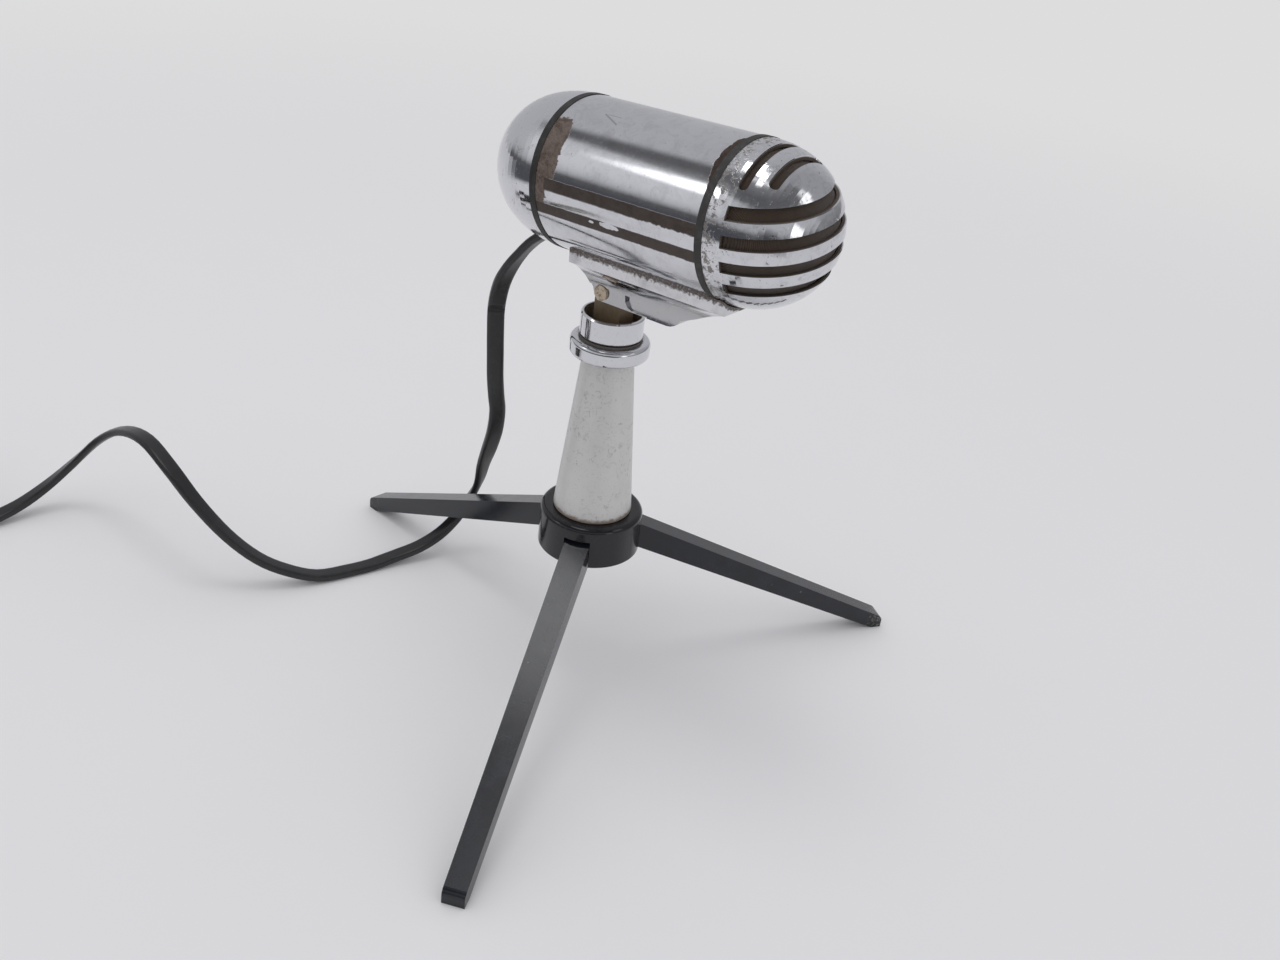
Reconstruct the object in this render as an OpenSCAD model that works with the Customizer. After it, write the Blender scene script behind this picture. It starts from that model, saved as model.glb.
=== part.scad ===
// Small table microphone: a chromed torpedo head on a tilting, turning joint over a
// conical stem, with three folding legs and a flat flexible lead.
// Origin on the table at the middle of the box round stand and head, +X the way the
// head points, +Z up.

/* [Head shell] */
// Outside radius of the sleeve and both caps
head_r = 20.2; // [18:0.1:24]
// Wall of the sleeve and both caps
head_wall = 1; // [0.8:0.1:1.4]
// Length of the sleeve
sleeve_l = 50.6; // [46:0.1:64]
// Length of sleeve behind the middle of the stem
sleeve_back = 13.3; // [11:0.1:16]
// Length of the rear cap
rear_cap_l = 23.7; // [20:0.1:30]
// Length of the grille cap
grille_l = 22.4; // [20:0.1:30]
// Roundness of the caps, 2 is an ellipse
dome_power = 2.16; // [2:0.01:2.4]
// Width of the two rubber rings
gasket_w = 2; // [1.4:0.1:3]
// How far the rubber rings stand proud
gasket_proud = 0.15; // [0.05:0.05:0.4]
// Angle of the head, nose up
nose_up = 2.77; // [0:0.01:8]

/* [Grille] */
// Turn of the grille cap about the head's axis
grille_turn = 9.6; // [0:0.1:20]
// Width of the long slots
slot_w = 3; // [2:0.1:3.6]
// Distance between long slots
slot_pitch = 6.15; // [5:0.05:7]
// Height of the top long slot over the axis
slot_top = 9.7; // [8:0.1:11]
// Number of long slots
slot_count = 4; // [3:1:4]
// Plain band behind the slots
slot_band = 4.8; // [4.5:0.1:7]
// Width of the two cross slots
cross_w = 2.35; // [1.6:0.05:3]
// Place of the cross slots in front of the cap's rear edge
cross_x = 6.2; // [6:0.1:8]
// Distance between the cross slots
cross_pitch = 5.7; // [4.5:0.1:6.5]
// Reach of the rear cross slot to each side
cross_reach = 40; // [30:1:45]

/* [Saddle] */
// Length of the saddle behind the middle of the stem
saddle_back = 8; // [7:0.1:9]
// Reach of the saddle past the front of the sleeve
saddle_past = 4.2; // [2:0.1:6]
// Half width of the saddle's flange
flange_half = 12; // [11.5:0.1:13]
// Thickness of the flange at its sides
flange_t = 3.9; // [3.4:0.1:4.4]
// Half width of the keel
keel_half = 6.5; // [6:0.1:7.5]
// Depth of the keel under the sleeve
keel_t = 10.3; // [10:0.1:11]
// Front end of the keel in front of the middle of the stem
keel_front = 26; // [24:0.1:28]

/* [Tilt and turn joint] */
// Height of the tilt pin over the collar
pin_rise = 13.7; // [13.2:0.1:15]
// Depth of the tilt pin under the sleeve
pin_under = 7.9; // [7.6:0.1:8.2]
// Radius of the tilt pin
pin_r = 2.1; // [1.8:0.1:2.3]
// Thickness of the lug
lug_t = 6; // [5:0.1:7]
// Half width of the lug
lug_half = 4.5; // [4:0.1:4.8]
// Side play of the lug in its slot
lug_play = 0.15; // [0.1:0.05:0.3]
// Outside radius of the swivel cup
cup_r = 8.8; // [8.4:0.1:9.2]
// Wall of the swivel cup
cup_wall = 0.9; // [0.7:0.1:1.2]
// Height of the swivel cup
cup_h = 6.4; // [5:0.1:7]
// Outside radius of the collar
collar_r = 11.2; // [10.6:0.1:12.5]
// Height of the collar
collar_h = 5.7; // [5:0.1:6.4]

/* [Stem] */
// Height of the stem's foot over the table
stem_z = 54.7; // [50:0.1:60]
// Length of the stem
stem_l = 48.9; // [46:0.1:50]
// Radius at the stem's foot
stem_foot_r = 11.6; // [11:0.1:12.5]
// Radius at the stem's top
stem_top_r = 7.25; // [7:0.05:8.4]
// Wall of the stem
stem_wall = 1.5; // [1.2:0.1:2]

/* [Hub and legs] */
// Radius of the hub
hub_r = 15.2; // [14.8:0.1:17]
// Height of the hub
hub_h = 12.7; // [12.2:0.1:14]
// Distance of the leg pins from the middle
leg_pin_r = 9; // [8.8:0.1:9.4]
// Height of the leg pins over the table
leg_pin_z = 47.4; // [47:0.1:48]
// Reach of the legs' toes from the middle
toe_reach = 107; // [100:0.5:112]
// Turn of the three legs about the stem
leg_turn = -3.8; // [-10:0.1:10]
// Width of a leg at the hub
leg_w = 7.5; // [6.5:0.1:7.8]
// Width of a leg at its foot
foot_w = 6.1; // [5:0.1:6.4]
// Height of a leg at the hub
leg_h = 7.6; // [7:0.1:8]
// Height of a leg's end over the table
foot_h = 5.3; // [4.4:0.1:6.4]
// Length of the flat sole
sole_l = 3.5; // [2:0.1:6]
// Radius of the toe's upper corner
toe_round = 2.4; // [1:0.1:3]
// Height of the mouth of the hub's slots over the table
mouth_z = 50.5; // [50:0.1:51.5]
// Radius of a leg pin
leg_pin_rad = 1.25; // [1:0.05:1.5]
// Play of a leg in its slot, each side
leg_play = 0.15; // [0.1:0.05:0.3]

/* [Capsule] */
// Thickness of the rubber cushion round the capsule
cushion_t = 3.3; // [2.5:0.1:4.5]
// Depth of the capsule's case
capsule_d = 13; // [11:0.1:16]
// Radius of the voice coil
coil_r = 7.5; // [6:0.1:8.3]

/* [Transformer] */
// Length of the transformer's core
core_l = 18; // [14:0.1:19]
// Height of the core
core_h = 15; // [12:0.1:16]
// Thickness of the stack
core_t = 9; // [7:0.1:10]

/* [Lead] */
// Place of the lead's outlet, from the rear cap's edge towards its tip
outlet_at = 29; // [20:1:40]
// Width of the flat lead
lead_w = 5.2; // [4:0.1:5.6]
// Thickness of the flat lead
lead_t = 2.6; // [2:0.1:3]
// Turns in the coil
coil_turns = 7; // [5:1:9]
// Radius of the coil's outer turn
coil_out = 36; // [34:0.5:46]
// Gap between turns
coil_gap = 0.6; // [0.5:0.05:1]
// Radius of the plug
plug_r = 7.5; // [6.6:0.1:9]
// Length of the plug's shell
plug_l = 33; // [26:0.5:40]

/* [Hidden] */
$fn = 96;

// Fits
slip = 0.05;
seat = 0.3;

// Places along the head's axis
sleeve_x0 = -sleeve_back;
sleeve_x1 = sleeve_l - sleeve_back;
rear_x = sleeve_x0 - gasket_w;
front_x = sleeve_x1 + gasket_w;
bore_r = head_r - head_wall;
spigot_l = 4;
spigot_wall = 1;
spigot_r = bore_r - slip;
dome_steps = 22;

// Capsule, from its front ring back
capsule_r = spigot_r - spigot_wall - cushion_t;
capsule_x = front_x + 1;
ring_t = 1.6;
foil_t = 0.25;
plate_t = 2.5;
case_floor = 2.5;
case_wall = 2;
magnet_r = coil_r - 1.2;
air_gap = 0.3;
coil_t = 0.5;
case_back = capsule_x - capsule_d;
case_bore = capsule_r - case_wall;
plate_x = capsule_x - 4.2;

// Chassis inside the sleeve
chassis_w = 10;
chassis_t = 1.2;
chassis_z = -sqrt(pow(bore_r, 2) - pow(chassis_w / 2, 2)) + slip;
chassis_top = chassis_z + chassis_t;
chassis_x0 = sleeve_x0 + spigot_l + seat;
chassis_x1 = sleeve_x1 - spigot_l - seat;
screw_r = 1.5;
screw_head_r = 2.7;
screw_head_h = 1.8;
screw_end = head_r + 3.4;
core_x = chassis_x0 + 2;
core_z = chassis_top;
limb_h = core_h / 3;
window_h = core_h / 6;
window_in = 3;
bobbin_wall = 3.1;
strap_t = 0.8;
strap_w = 7;
board_t = 1.2;
board_half = 7;
foot_l = 2 * screw_head_r + 1.4;
screw_x = [core_x + core_l + strap_t + foot_l / 2, chassis_x1 - screw_head_r - 1.3];
wire_r = 0.55;

// Saddle and joint, in the head's own places
saddle_front = sleeve_x1 + saddle_past;
flange_drop = sqrt(pow(head_r, 2) - pow(flange_half, 2)) + flange_t;
keel_drop = head_r + keel_t;
pin_drop = head_r + pin_under;
pin_at = [-pin_drop * sin(nose_up), 0, -pin_drop * cos(nose_up)];
lug_slot = lug_t / 2 + lug_play;
lug_room = lug_half + 0.8;
scoop_r = lug_half + 6;
cheek_step = 0.7;
groove_t = 1.6;
flank_r = 9;
belly_drop = flange_drop + 6;
pin_l = 2 * keel_half;

// Swivel
collar_z = stem_z + stem_l;
cup_z = collar_z + collar_h + seat;
cup_rim_z = cup_z + cup_h;
pin_z = collar_z + collar_h + pin_rise;
head_z = pin_z + pin_drop;
cup_floor = 1.6;
stud_r = 2;
stud_end = collar_z - 12;
stem_top_t = 3;

// Hub
hub_z = stem_z - hub_h;
slot_half = leg_w / 2 + leg_play;
heel_r = leg_h / 2 + 0.6;
leg_slot_in = leg_pin_r - leg_h / 2 - seat;
foot_back = 2.8;
splay = atan2(leg_pin_z - foot_h / 2, toe_reach - foot_back - leg_pin_r);
// Fall of the leg's upper side, and the height of the middle of the toe's rounded corner
leg_fall = atan2(
    leg_pin_z + leg_h / 2 * cos(splay) - foot_h,
    toe_reach - foot_back - leg_pin_r - leg_h / 2 * sin(splay)
);
toe_turn_z = foot_h - (toe_round + (foot_back - toe_round) * sin(leg_fall)) / cos(leg_fall);
toe_steps = 6;
leg_angles = [-60, 60, 180];
bush_h = 8;
hub_screw_r = 2;
hub_head_r = 3.6;
hub_head_h = 2.2;

// Lead outlet under the rear cap, in the head's own places
outlet_x = rear_x - rear_cap_l * pow(sin(outlet_at), 2 / dome_power);
outlet_z = -head_r * pow(cos(outlet_at), 2 / dome_power);
outlet_lean = 30;
outlet_l = 1.6;
outlet_r = lead_w / 2 + 1.1;
grommet_in = 3.6;
clamp_in = 6.4;
stub_in = 9;
lead_gap = 0.2;
lead_start = head_point([
    outlet_x - (outlet_l + lead_gap) * sin(outlet_lean), 0,
    outlet_z - (outlet_l + lead_gap) * cos(outlet_lean)
]);

heading_down = [
    -sin(outlet_lean - nose_up), 0, -cos(outlet_lean - nose_up)
];

// Route of the lead from the rear cap to the table: place and direction of its width
drop_route = [
    [lead_start, [0.3, 1, 0]],
    [lead_start + 3 * heading_down, [0.3, 1, 0]],
    [[-33, 0, 124.5], [0.6, 0.8, 0]],
    [[-38, 0, 117.5], [0.6, 0.8, 0]],
    [[-42, 0, 110], [0.6, 0.8, 0]],
    [[-44.5, 0.5, 102], [0.7, 0.7, 0]],
    [[-45.5, 1.5, 93], [0.7, 0.7, 0]],
    [[-46, 2.5, 85], [0.7, 0.7, 0]],
    [[-47, 4, 77], [0.7, 0.7, 0]],
    [[-48.5, 6.5, 69], [0.7, 0.7, 0]],
    [[-50, 9, 62], [0.7, 0.7, 0]],
    [[-52, 11, 53], [0.6, 0.8, 0]],
    [[-55, 12.5, 44], [0.4, 0.9, 0]],
    [[-59, 14, 36], [0, 1, 0]],
    [[-62, 14.5, 28], [-0.4, 0.9, 0]],
    [[-64, 12.5, 21], [-0.7, 0.7, 0]],
    [[-66, 8.5, 14], [-0.9, 0.5, 0]],
    [[-68.5, 3, 8], [-0.9, 0.4, 0]],
    [[-71, -4, 4.4], [-0.9, 0.3, 0]],
    [[-73.6, -11, 2.7], [-0.9, 0.25, 0]],
    [[-75, -16, 2], [-0.9, 0.25, 0]]
];
// Route along the table, over its one springy arch, to the coil
floor_route = [
    [[-75, -16, 2], [-0.9, 0.25, 0]],
    [[-76.4, -21, 1.4], [-0.9, 0.25, 0]],
    [[-78.5, -28, 1.4], [-0.9, 0.3, 0]],
    [[-82, -38, 2], [-0.9, 0.4, 0]],
    [[-87, -46.5, 5.5], [-0.8, 0.6, 0]],
    [[-92.5, -53.5, 10.5], [-0.7, 0.7, 0]],
    [[-99, -60, 19], [-0.6, 0.8, 0]],
    [[-107, -65, 29.5], [-0.4, 0.9, 0]],
    [[-117, -67, 38], [-0.1, 1, 0]],
    [[-130, -67, 42.5], [0, 1, 0]],
    [[-146, -66, 38.5], [0, 1, 0]],
    [[-160, -67, 29.5], [-0.3, 0.9, 0]],
    [[-170, -72, 18], [-0.7, 0.7, 0]],
    [[-175, -80, 9.5], [-0.9, 0.4, 0]],
    [[-176.5, -90, 4.5], [-1, 0.1, 0]],
    [[-177, -100, 2.6], [-1, 0, 0.2]],
    [[-177, -109, 2.8], [-0.9, 0, 0.5]],
    [[-177, -118, 3.3], [-0.5, 0, 0.9]],
    [[-177, -125, 3.6], [0, 0, 1]],
    [[-177, -131, 3.6], [0, 0, 1]]
];

// Coil of the spare length, on edge in two layers, wound clockwise from its outer turn
coil_at = [-177 - coil_out, -137];
layer_z = [3.6, 9.6];
half_turns = coil_turns / 2;
coil_pitch = lead_t + coil_gap;
coil_steps = 24;
coil_dip = coil_pitch / 2;
tail_l = 26;

// Plug beside the coil
pin_ring = 3.4;
plug_pin_r = 0.75;

// Middle of the box round stand and head: from toe to nose, and from toe to toe
toes = [
    for (a = leg_angles, s = [-1, 1])
        let (t = a + leg_turn)
        toe_reach * [cos(t), sin(t)] + s * foot_w / 2 * [-sin(t), cos(t)]
];
nose = head_point([front_x + grille_l, 0, 0]);
middle = [
    (min([for (t = toes) t[0]]) + nose[0]) / 2,
    (min([for (t = toes) t[1]]) + max([for (t = toes) t[1]])) / 2,
    0
];

// Helpers

function unit(v) = v / norm(v);

// A place given in the head's own frame, in the part's frame
function head_point(p) = [
    p[0] * cos(nose_up) - p[2] * sin(nose_up),
    p[1],
    head_z + p[0] * sin(nose_up) + p[2] * cos(nose_up)
];

// Half outline of a cap: a superellipse of length l and radius r
function dome_outline(l, r) = [
    for (i = [0:dome_steps])
        let (a = 90 * i / dome_steps)
        [r * pow(cos(a), 2 / dome_power), l * pow(sin(a), 2 / dome_power)]
];

// Corners of the flat lead's section, across its width and its thickness
function lead_section(w, t) = [
    [w / 2, t * 0.2], [w * 0.36, t / 2], [-w * 0.36, t / 2], [-w / 2, t * 0.2],
    [-w / 2, -t * 0.2], [-w * 0.36, -t / 2], [w * 0.36, -t / 2], [w / 2, -t * 0.2]
];

// Direction of a route at point i
function heading(path, i) = unit(
    path[min(i + 1, len(path) - 1)][0] - path[max(i - 1, 0)][0]
);

// One ring of the swept lead
function lead_ring(path, i, section) =
    let (t = heading(path, i))
    let (a = path[i][1])
    let (across = unit(a - (a * t) * t))
    let (out = cross(t, across))
    [for (s = section) path[i][0] + s[0] * across + s[1] * out];

// The lead swept along a route as one closed solid
module sweep(path, section) {
    n = len(section);
    rings = len(path);
    points = [for (i = [0:rings - 1]) each lead_ring(path, i, section)];
    sides = [
        for (i = [0:rings - 2], k = [0:n - 1])
            let (a = i * n + k)
            let (b = i * n + (k + 1) % n)
            each [[a, b, b + n], [a, b + n, a + n]]
    ];
    first = [for (k = [1:n - 2]) [0, k + 1, k]];
    top = (rings - 1) * n;
    last = [for (k = [1:n - 2]) [top, top + k, top + k + 1]];
    polyhedron(points, concat(sides, first, last), convexity = 10);
}

// What is drawn round the stem's axis, or along the lead
module on_stem() {
    translate(-middle)
        children();
}

// The head's own frame
module in_head() {
    on_stem()
        translate([0, 0, head_z])
            rotate([0, -nose_up, 0])
                children();
}

// Puts what is drawn along +Z on the head's axis
module on_axis(x) {
    in_head()
        translate([x, 0, 0])
            rotate([0, 90, 0])
                children();
}

// A tube of outer radius r1 and bore r0
module tube(r1, r0, h) {
    rotate_extrude()
        translate([r0, 0])
            square([r1 - r0, h]);
}

// A domed shell, open at its flat end
module dome_shell(l, r, wall) {
    outer = dome_outline(l, r);
    inner = dome_outline(l - wall, r - wall);
    rotate_extrude()
        polygon(concat(outer, [for (i = [dome_steps:-1:0]) inner[i]]));
}

// The ring inside a cap that slides into the sleeve
module spigot() {
    translate([0, 0, -gasket_w - spigot_l])
        tube(spigot_r, spigot_r - spigot_wall, gasket_w + 2 * spigot_l);
    tube(bore_r + head_wall / 2, spigot_r - spigot_wall, spigot_l);
}

// Head shell

module rear_cap() {
    color("silver")
        difference() {
            on_axis(rear_x)
                mirror([0, 0, 1])
                    union() {
                        dome_shell(rear_cap_l, head_r, head_wall);
                        spigot();
                    }
            at_outlet(-grommet_in)
                cylinder(r = outlet_r, h = 2 * grommet_in);
        }
}

// Along the lead's way out of the rear cap, from h outside its surface
module at_outlet(h) {
    in_head()
        translate([outlet_x, 0, outlet_z])
            rotate([0, 180 + outlet_lean, 0])
                translate([0, 0, h])
                    children();
}

module rear_gasket() {
    color("dimgray")
        on_axis(rear_x)
            tube(head_r + gasket_proud, bore_r, gasket_w);
}

module body_sleeve() {
    color("silver")
        difference() {
            on_axis(sleeve_x0)
                tube(head_r, bore_r, sleeve_l);
            in_head()
                for (x = screw_x)
                    translate([x, 0, -head_r - 1])
                        cylinder(r = screw_r + slip, h = 4);
        }
}

module front_gasket() {
    color("dimgray")
        on_axis(sleeve_x1)
            tube(head_r + gasket_proud, bore_r, gasket_w);
}

// A cross slot with round ends, square to the head's axis
module cross_slot(x, reach) {
    translate([0, 0, x - cross_w / 2])
        rotate([0, 0, 180 - reach])
            rotate_extrude(angle = 2 * reach)
                translate([head_r * 0.45, 0])
                    square([head_r, cross_w]);
    for (a = [-reach, reach])
        translate([0, 0, x])
            rotate([0, 0, a])
                rotate([0, -90, 0])
                    translate([0, 0, head_r * 0.45])
                        cylinder(r = cross_w / 2, h = head_r);
}

module grille_dome() {
    color("silver")
        on_axis(front_x)
            rotate([0, 0, grille_turn])
                difference() {
                    union() {
                        dome_shell(grille_l, head_r, head_wall);
                        spigot();
                    }
                    for (i = [0:slot_count - 1])
                        translate([slot_pitch * i - slot_top - slot_w / 2, -head_r - 1, slot_band])
                            cube([slot_w, 2 * head_r + 2, grille_l]);
                    cross_slot(cross_x, cross_reach);
                    cross_slot(cross_x + cross_pitch, cross_reach * 0.75);
                }
}

module grille_cloth() {
    color("saddlebrown")
        on_axis(front_x)
            intersection() {
                dome_shell(grille_l - head_wall - slip, bore_r - slip, 0.5);
                translate([0, 0, spigot_l + slip])
                    cylinder(r = head_r, h = grille_l);
            }
}

// Capsule

module capsule_ring() {
    color("gainsboro")
        on_axis(capsule_x)
            tube(capsule_r, capsule_r - 2.6, ring_t);
}

module diaphragm() {
    rim = capsule_r - 0.6;
    rise = 2;
    color("goldenrod")
        on_axis(capsule_x - foil_t)
            rotate_extrude()
                polygon([
                    [0, rise], [coil_r * 0.5, rise * 0.8], [coil_r * 0.85, rise * 0.35],
                    [coil_r, 0], [coil_r + 1.6, 0.6], [coil_r + 3, 0], [rim, 0],
                    [rim, foil_t], [coil_r + 3, foil_t], [coil_r + 1.6, 0.6 + foil_t],
                    [coil_r, foil_t], [coil_r * 0.85, rise * 0.35 + foil_t],
                    [coil_r * 0.5, rise * 0.8 + foil_t], [0, rise + foil_t]
                ]);
}

module voice_coil() {
    color("orangered")
        on_axis(plate_x - plate_t)
            tube(coil_r, coil_r - coil_t, capsule_x - foil_t - plate_x + plate_t);
}

module top_plate() {
    color("darkgray")
        on_axis(plate_x - plate_t)
            tube(case_bore, coil_r + air_gap, plate_t);
}

module pole_piece() {
    color("darkgray")
        on_axis(plate_x - plate_t)
            cylinder(r = coil_r - coil_t - air_gap, h = plate_t);
}

module capsule_magnet() {
    color("slategray")
        on_axis(case_back + case_floor)
            cylinder(r = magnet_r, h = plate_x - plate_t - case_back - case_floor);
}

module capsule_case() {
    inside = [case_bore, case_back + case_floor];
    color("darkgray")
        on_axis(case_back)
            difference() {
                cylinder(r = capsule_r, h = capsule_x - foil_t - case_back);
                translate([0, 0, case_floor])
                    cylinder(r = inside[0], h = capsule_d);
            }
}

module capsule_cushion() {
    color("dimgray")
        on_axis(sleeve_x1 - spigot_l + 1)
            tube(spigot_r - spigot_wall, capsule_r, 4);
}

// Chassis and transformer

module chassis_plate() {
    color("darkgray")
        in_head()
            difference() {
                translate([chassis_x0, -chassis_w / 2, chassis_z])
                    cube([chassis_x1 - chassis_x0, chassis_w, chassis_t]);
                for (x = screw_x)
                    translate([x, 0, chassis_z - 1])
                        cylinder(r = screw_r + slip, h = 4);
            }
}

module transformer_core() {
    limb_z = core_z + core_h / 2;
    color("gray")
        in_head()
            difference() {
                translate([core_x, -core_t / 2, core_z])
                    cube([core_l, core_t, core_h]);
                for (s = [0, 1])
                    translate([
                        core_x + window_in, -core_t,
                        limb_z - limb_h / 2 - window_h + s * (limb_h + window_h)
                    ])
                        cube([core_l - 2 * window_in, 2 * core_t, window_h]);
            }
}

module transformer_winding() {
    limb_z = core_z + core_h / 2;
    half_t = core_t / 2;
    wind_h = limb_h + 2 * window_h;
    color("peru")
        in_head()
            translate([core_x + window_in, 0, limb_z])
                difference() {
                    translate([0, -half_t - bobbin_wall, -wind_h / 2])
                        cube([core_l - 2 * window_in, 2 * (half_t + bobbin_wall), wind_h]);
                    translate([-1, -half_t, -limb_h / 2])
                        cube([core_l, core_t, limb_h]);
                }
}

module transformer_bracket() {
    color("khaki")
        in_head() {
            translate([core_x - strap_t, -strap_w / 2, core_z])
                difference() {
                    cube([core_l + 2 * strap_t, strap_w, core_h + strap_t]);
                    translate([strap_t, -1, -1])
                        cube([core_l, strap_w + 2, core_h + 1]);
                }
            translate([core_x + core_l + strap_t, -strap_w / 2, core_z])
                difference() {
                    cube([foot_l, strap_w, strap_t]);
                    translate([foot_l / 2, strap_w / 2, -1])
                        cylinder(r = screw_r + slip, h = 3);
                }
        }
}

module terminal_board() {
    color("saddlebrown")
        in_head()
            translate([core_x, -board_half, core_z + core_h + strap_t])
                cube([core_l, 2 * board_half, board_t]);
}

module solder_tags() {
    top = core_z + core_h + strap_t + board_t;
    color("gold")
        in_head()
            for (x = [core_x + 3, core_x + core_l - 3], y = [-board_half + 2.5, board_half - 2.5])
                translate([x, y, top]) {
                    cylinder(r = 1.3, h = 0.6);
                    translate([-0.3, -0.9, 0.6])
                        cube([0.6, 1.8, 2.4]);
                }
}

// Lead outlet

module lead_grommet() {
    lip = 1.2;
    color("dimgray")
        difference() {
            union() {
                at_outlet(-grommet_in)
                    cylinder(r = outlet_r + lip, h = lip);
                at_outlet(-grommet_in)
                    cylinder(r = outlet_r - slip, h = grommet_in + outlet_l);
                at_outlet(seat)
                    cylinder(r1 = outlet_r + lip, r2 = outlet_r - slip, h = outlet_l - seat);
            }
            at_outlet(-stub_in)
                flat_lead(2 * stub_in);
        }
}

// A straight piece of the flat lead
module flat_lead(l) {
    linear_extrude(l)
        square([lead_t, lead_w], center = true);
}

module lead_clamp() {
    clamp_h = 2.2;
    ear = 1.3;
    color("khaki")
        difference() {
            at_outlet(-clamp_in)
                linear_extrude(clamp_h)
                    square([lead_t + 2 * ear, lead_w + 2 * ear], center = true);
            at_outlet(-stub_in)
                flat_lead(stub_in);
        }
}

// The end of the lead's sheath, held in the clamp and the grommet
module lead_stub() {
    color("black")
        at_outlet(-stub_in)
            flat_lead(stub_in + outlet_l);
}

// The lead's three cores and the capsule's two wires, up to the solder tags
module inner_wires() {
    tag_z = core_z + core_h + strap_t + board_t + 2;
    tag_y = board_half - 2.5;
    stub = [
        outlet_x + stub_in * sin(outlet_lean), 0,
        outlet_z + stub_in * cos(outlet_lean)
    ];
    lift = [sin(outlet_lean), 0, cos(outlet_lean)];
    rear_tag = core_x + 3;
    front_tag = core_x + core_l - 3;
    color("crimson")
        in_head() {
            for (s = [-1, 0, 1])
                wire([
                    stub + [0, 1.4 * s, 0], stub + [0, 1.4 * s, 0] + 1.5 * lift,
                    stub + [1.5, 1.8 * s, 5], [core_x - 8, 2.4 * s, tag_z - 2.5],
                    [core_x - 4, 3.2 * s, tag_z + 1.2 + abs(s)],
                    [rear_tag - 2.5, (tag_y - 0.6) * s, tag_z + 1.4],
                    [rear_tag - 0.7, tag_y * s, tag_z + 0.2]
                ]);
            for (s = [-1, 1])
                wire([
                    [case_back, 5 * s, 3], [case_back - 2, 5 * s, 3],
                    [case_back - 6, 4.6 * s, tag_z + 1.6], [front_tag + 3, tag_y * s, tag_z + 1.4],
                    [front_tag + 0.7, tag_y * s, tag_z + 0.2]
                ]);
        }
}

// A thin round wire along a list of places
module wire(places) {
    sweep(
        [for (p = places) [p, [0, 1, 0.2]]],
        [for (k = [0:5]) wire_r * [cos(60 * k), sin(60 * k)]]
    );
}

// Saddle under the head

// Section of the saddle across the head, with the hollow flanks under its flange
module saddle_section() {
    reach = 2 * flange_half;
    difference() {
        translate([-flange_half, -keel_drop])
            square([2 * flange_half, keel_drop - head_r * 0.7]);
        for (s = [-1, 1]) {
            translate([s * (flange_half + 2.9), -flange_drop - flank_r + 0.5])
                circle(r = flank_r);
            translate([s * (keel_half + reach / 2), -keel_drop - 0.4 * reach + 4])
                square([reach, 0.8 * reach], center = true);
        }
    }
}

// Outline of the saddle seen from the side
module saddle_profile() {
    nose_r = 5;
    top = -head_r * 0.5;
    keel_back = pin_at[0] - 2;
    polygon([
        [-saddle_back, top], [-saddle_back, -flange_drop - 1],
        [-saddle_back + 2.5, -belly_drop], [keel_back - 1.2, -belly_drop - 1],
        [keel_back - 0.4, -keel_drop + 1], [keel_back + 0.6, -keel_drop],
        for (a = [0:15:60]) [
            keel_front - nose_r + nose_r * sin(a),
            -keel_drop + nose_r - nose_r * cos(a)
        ],
        [keel_front + 4.5, -belly_drop + 0.4], [saddle_front - 6, -flange_drop - 3],
        [saddle_front, -flange_drop - 0.6], [saddle_front, top]
    ]);
}

module saddle() {
    length = saddle_back + saddle_front;
    color("silver")
        in_head()
            difference() {
                intersection() {
                    translate([-saddle_back, 0, 0])
                        rotate([90, 0, 90])
                            linear_extrude(length)
                                saddle_section();
                    rotate([90, 0, 0])
                        linear_extrude(4 * flange_half, center = true)
                            saddle_profile();
                }
                // Bed for the sleeve, with room for the front ring and cap
                translate([-length, 0, 0])
                    rotate([0, 90, 0])
                        cylinder(r = head_r, h = 3 * length);
                translate([sleeve_x1 - seat, 0, 0])
                    rotate([0, 90, 0])
                        cylinder(r = head_r + gasket_proud + slip, h = length);
                // Slot for the lug, open below and behind
                translate([pin_at[0] - length, -lug_slot, pin_at[2] - keel_drop])
                    cube([length + lug_room, 2 * lug_slot, keel_drop + lug_room]);
                scoops();
                translate(pin_at)
                    rotate([90, 0, 0])
                        cylinder(r = pin_r + slip / 5, h = 4 * keel_half, center = true);
                for (x = screw_x)
                    translate([x, 0, -screw_end - seat])
                        cylinder(r = screw_r + slip, h = head_r);
            }
}

// The stepped rear cheeks, and the crescent groove where each ends against the keel's lobe
module scoops() {
    top = keel_drop - belly_drop - 0.2;
    for (m = [0, 1])
        mirror([0, m, 0]) {
            cheek_cut(cheek_step)
                polygon([
                    [-scoop_r, -2], [-scoop_r, top], [scoop_r, top], [scoop_r - 0.4, 2.4],
                    [scoop_r, 1.3], [scoop_r + 1.2, 0.8], [scoop_r + 5.4, 0.4], [scoop_r + 5.4, -2]
                ]);
            cheek_cut(groove_t)
                polygon([
                    [scoop_r - 2.5, top], [scoop_r - 2.3, 2.1], [scoop_r - 1.5, 0.9],
                    [scoop_r, 0.3], [scoop_r + 2, 0.1], [scoop_r + 5.2, 0.3],
                    [scoop_r + 2.4, 0.9], [scoop_r + 1.1, 0.8], [scoop_r, 1.4],
                    [scoop_r - 0.3, 2.5], [scoop_r, top]
                ]);
        }
}

// A cut of depth t in one side of the keel, drawn from the pin and the keel's lower edge
module cheek_cut(t) {
    translate([pin_at[0], t - keel_half, -keel_drop])
        rotate([90, 0, 0])
            linear_extrude(keel_half)
                children();
}

module saddle_screws() {
    color("gainsboro")
        in_head()
            for (i = [0, 1])
                let (under = chassis_top + (1 - i) * strap_t)
                translate([screw_x[i], 0, -screw_end]) {
                    cylinder(r = screw_r, h = screw_end + under + 0.2);
                    translate([0, 0, screw_end + under])
                        screw_head(screw_head_r, screw_head_h);
                }
}

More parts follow.
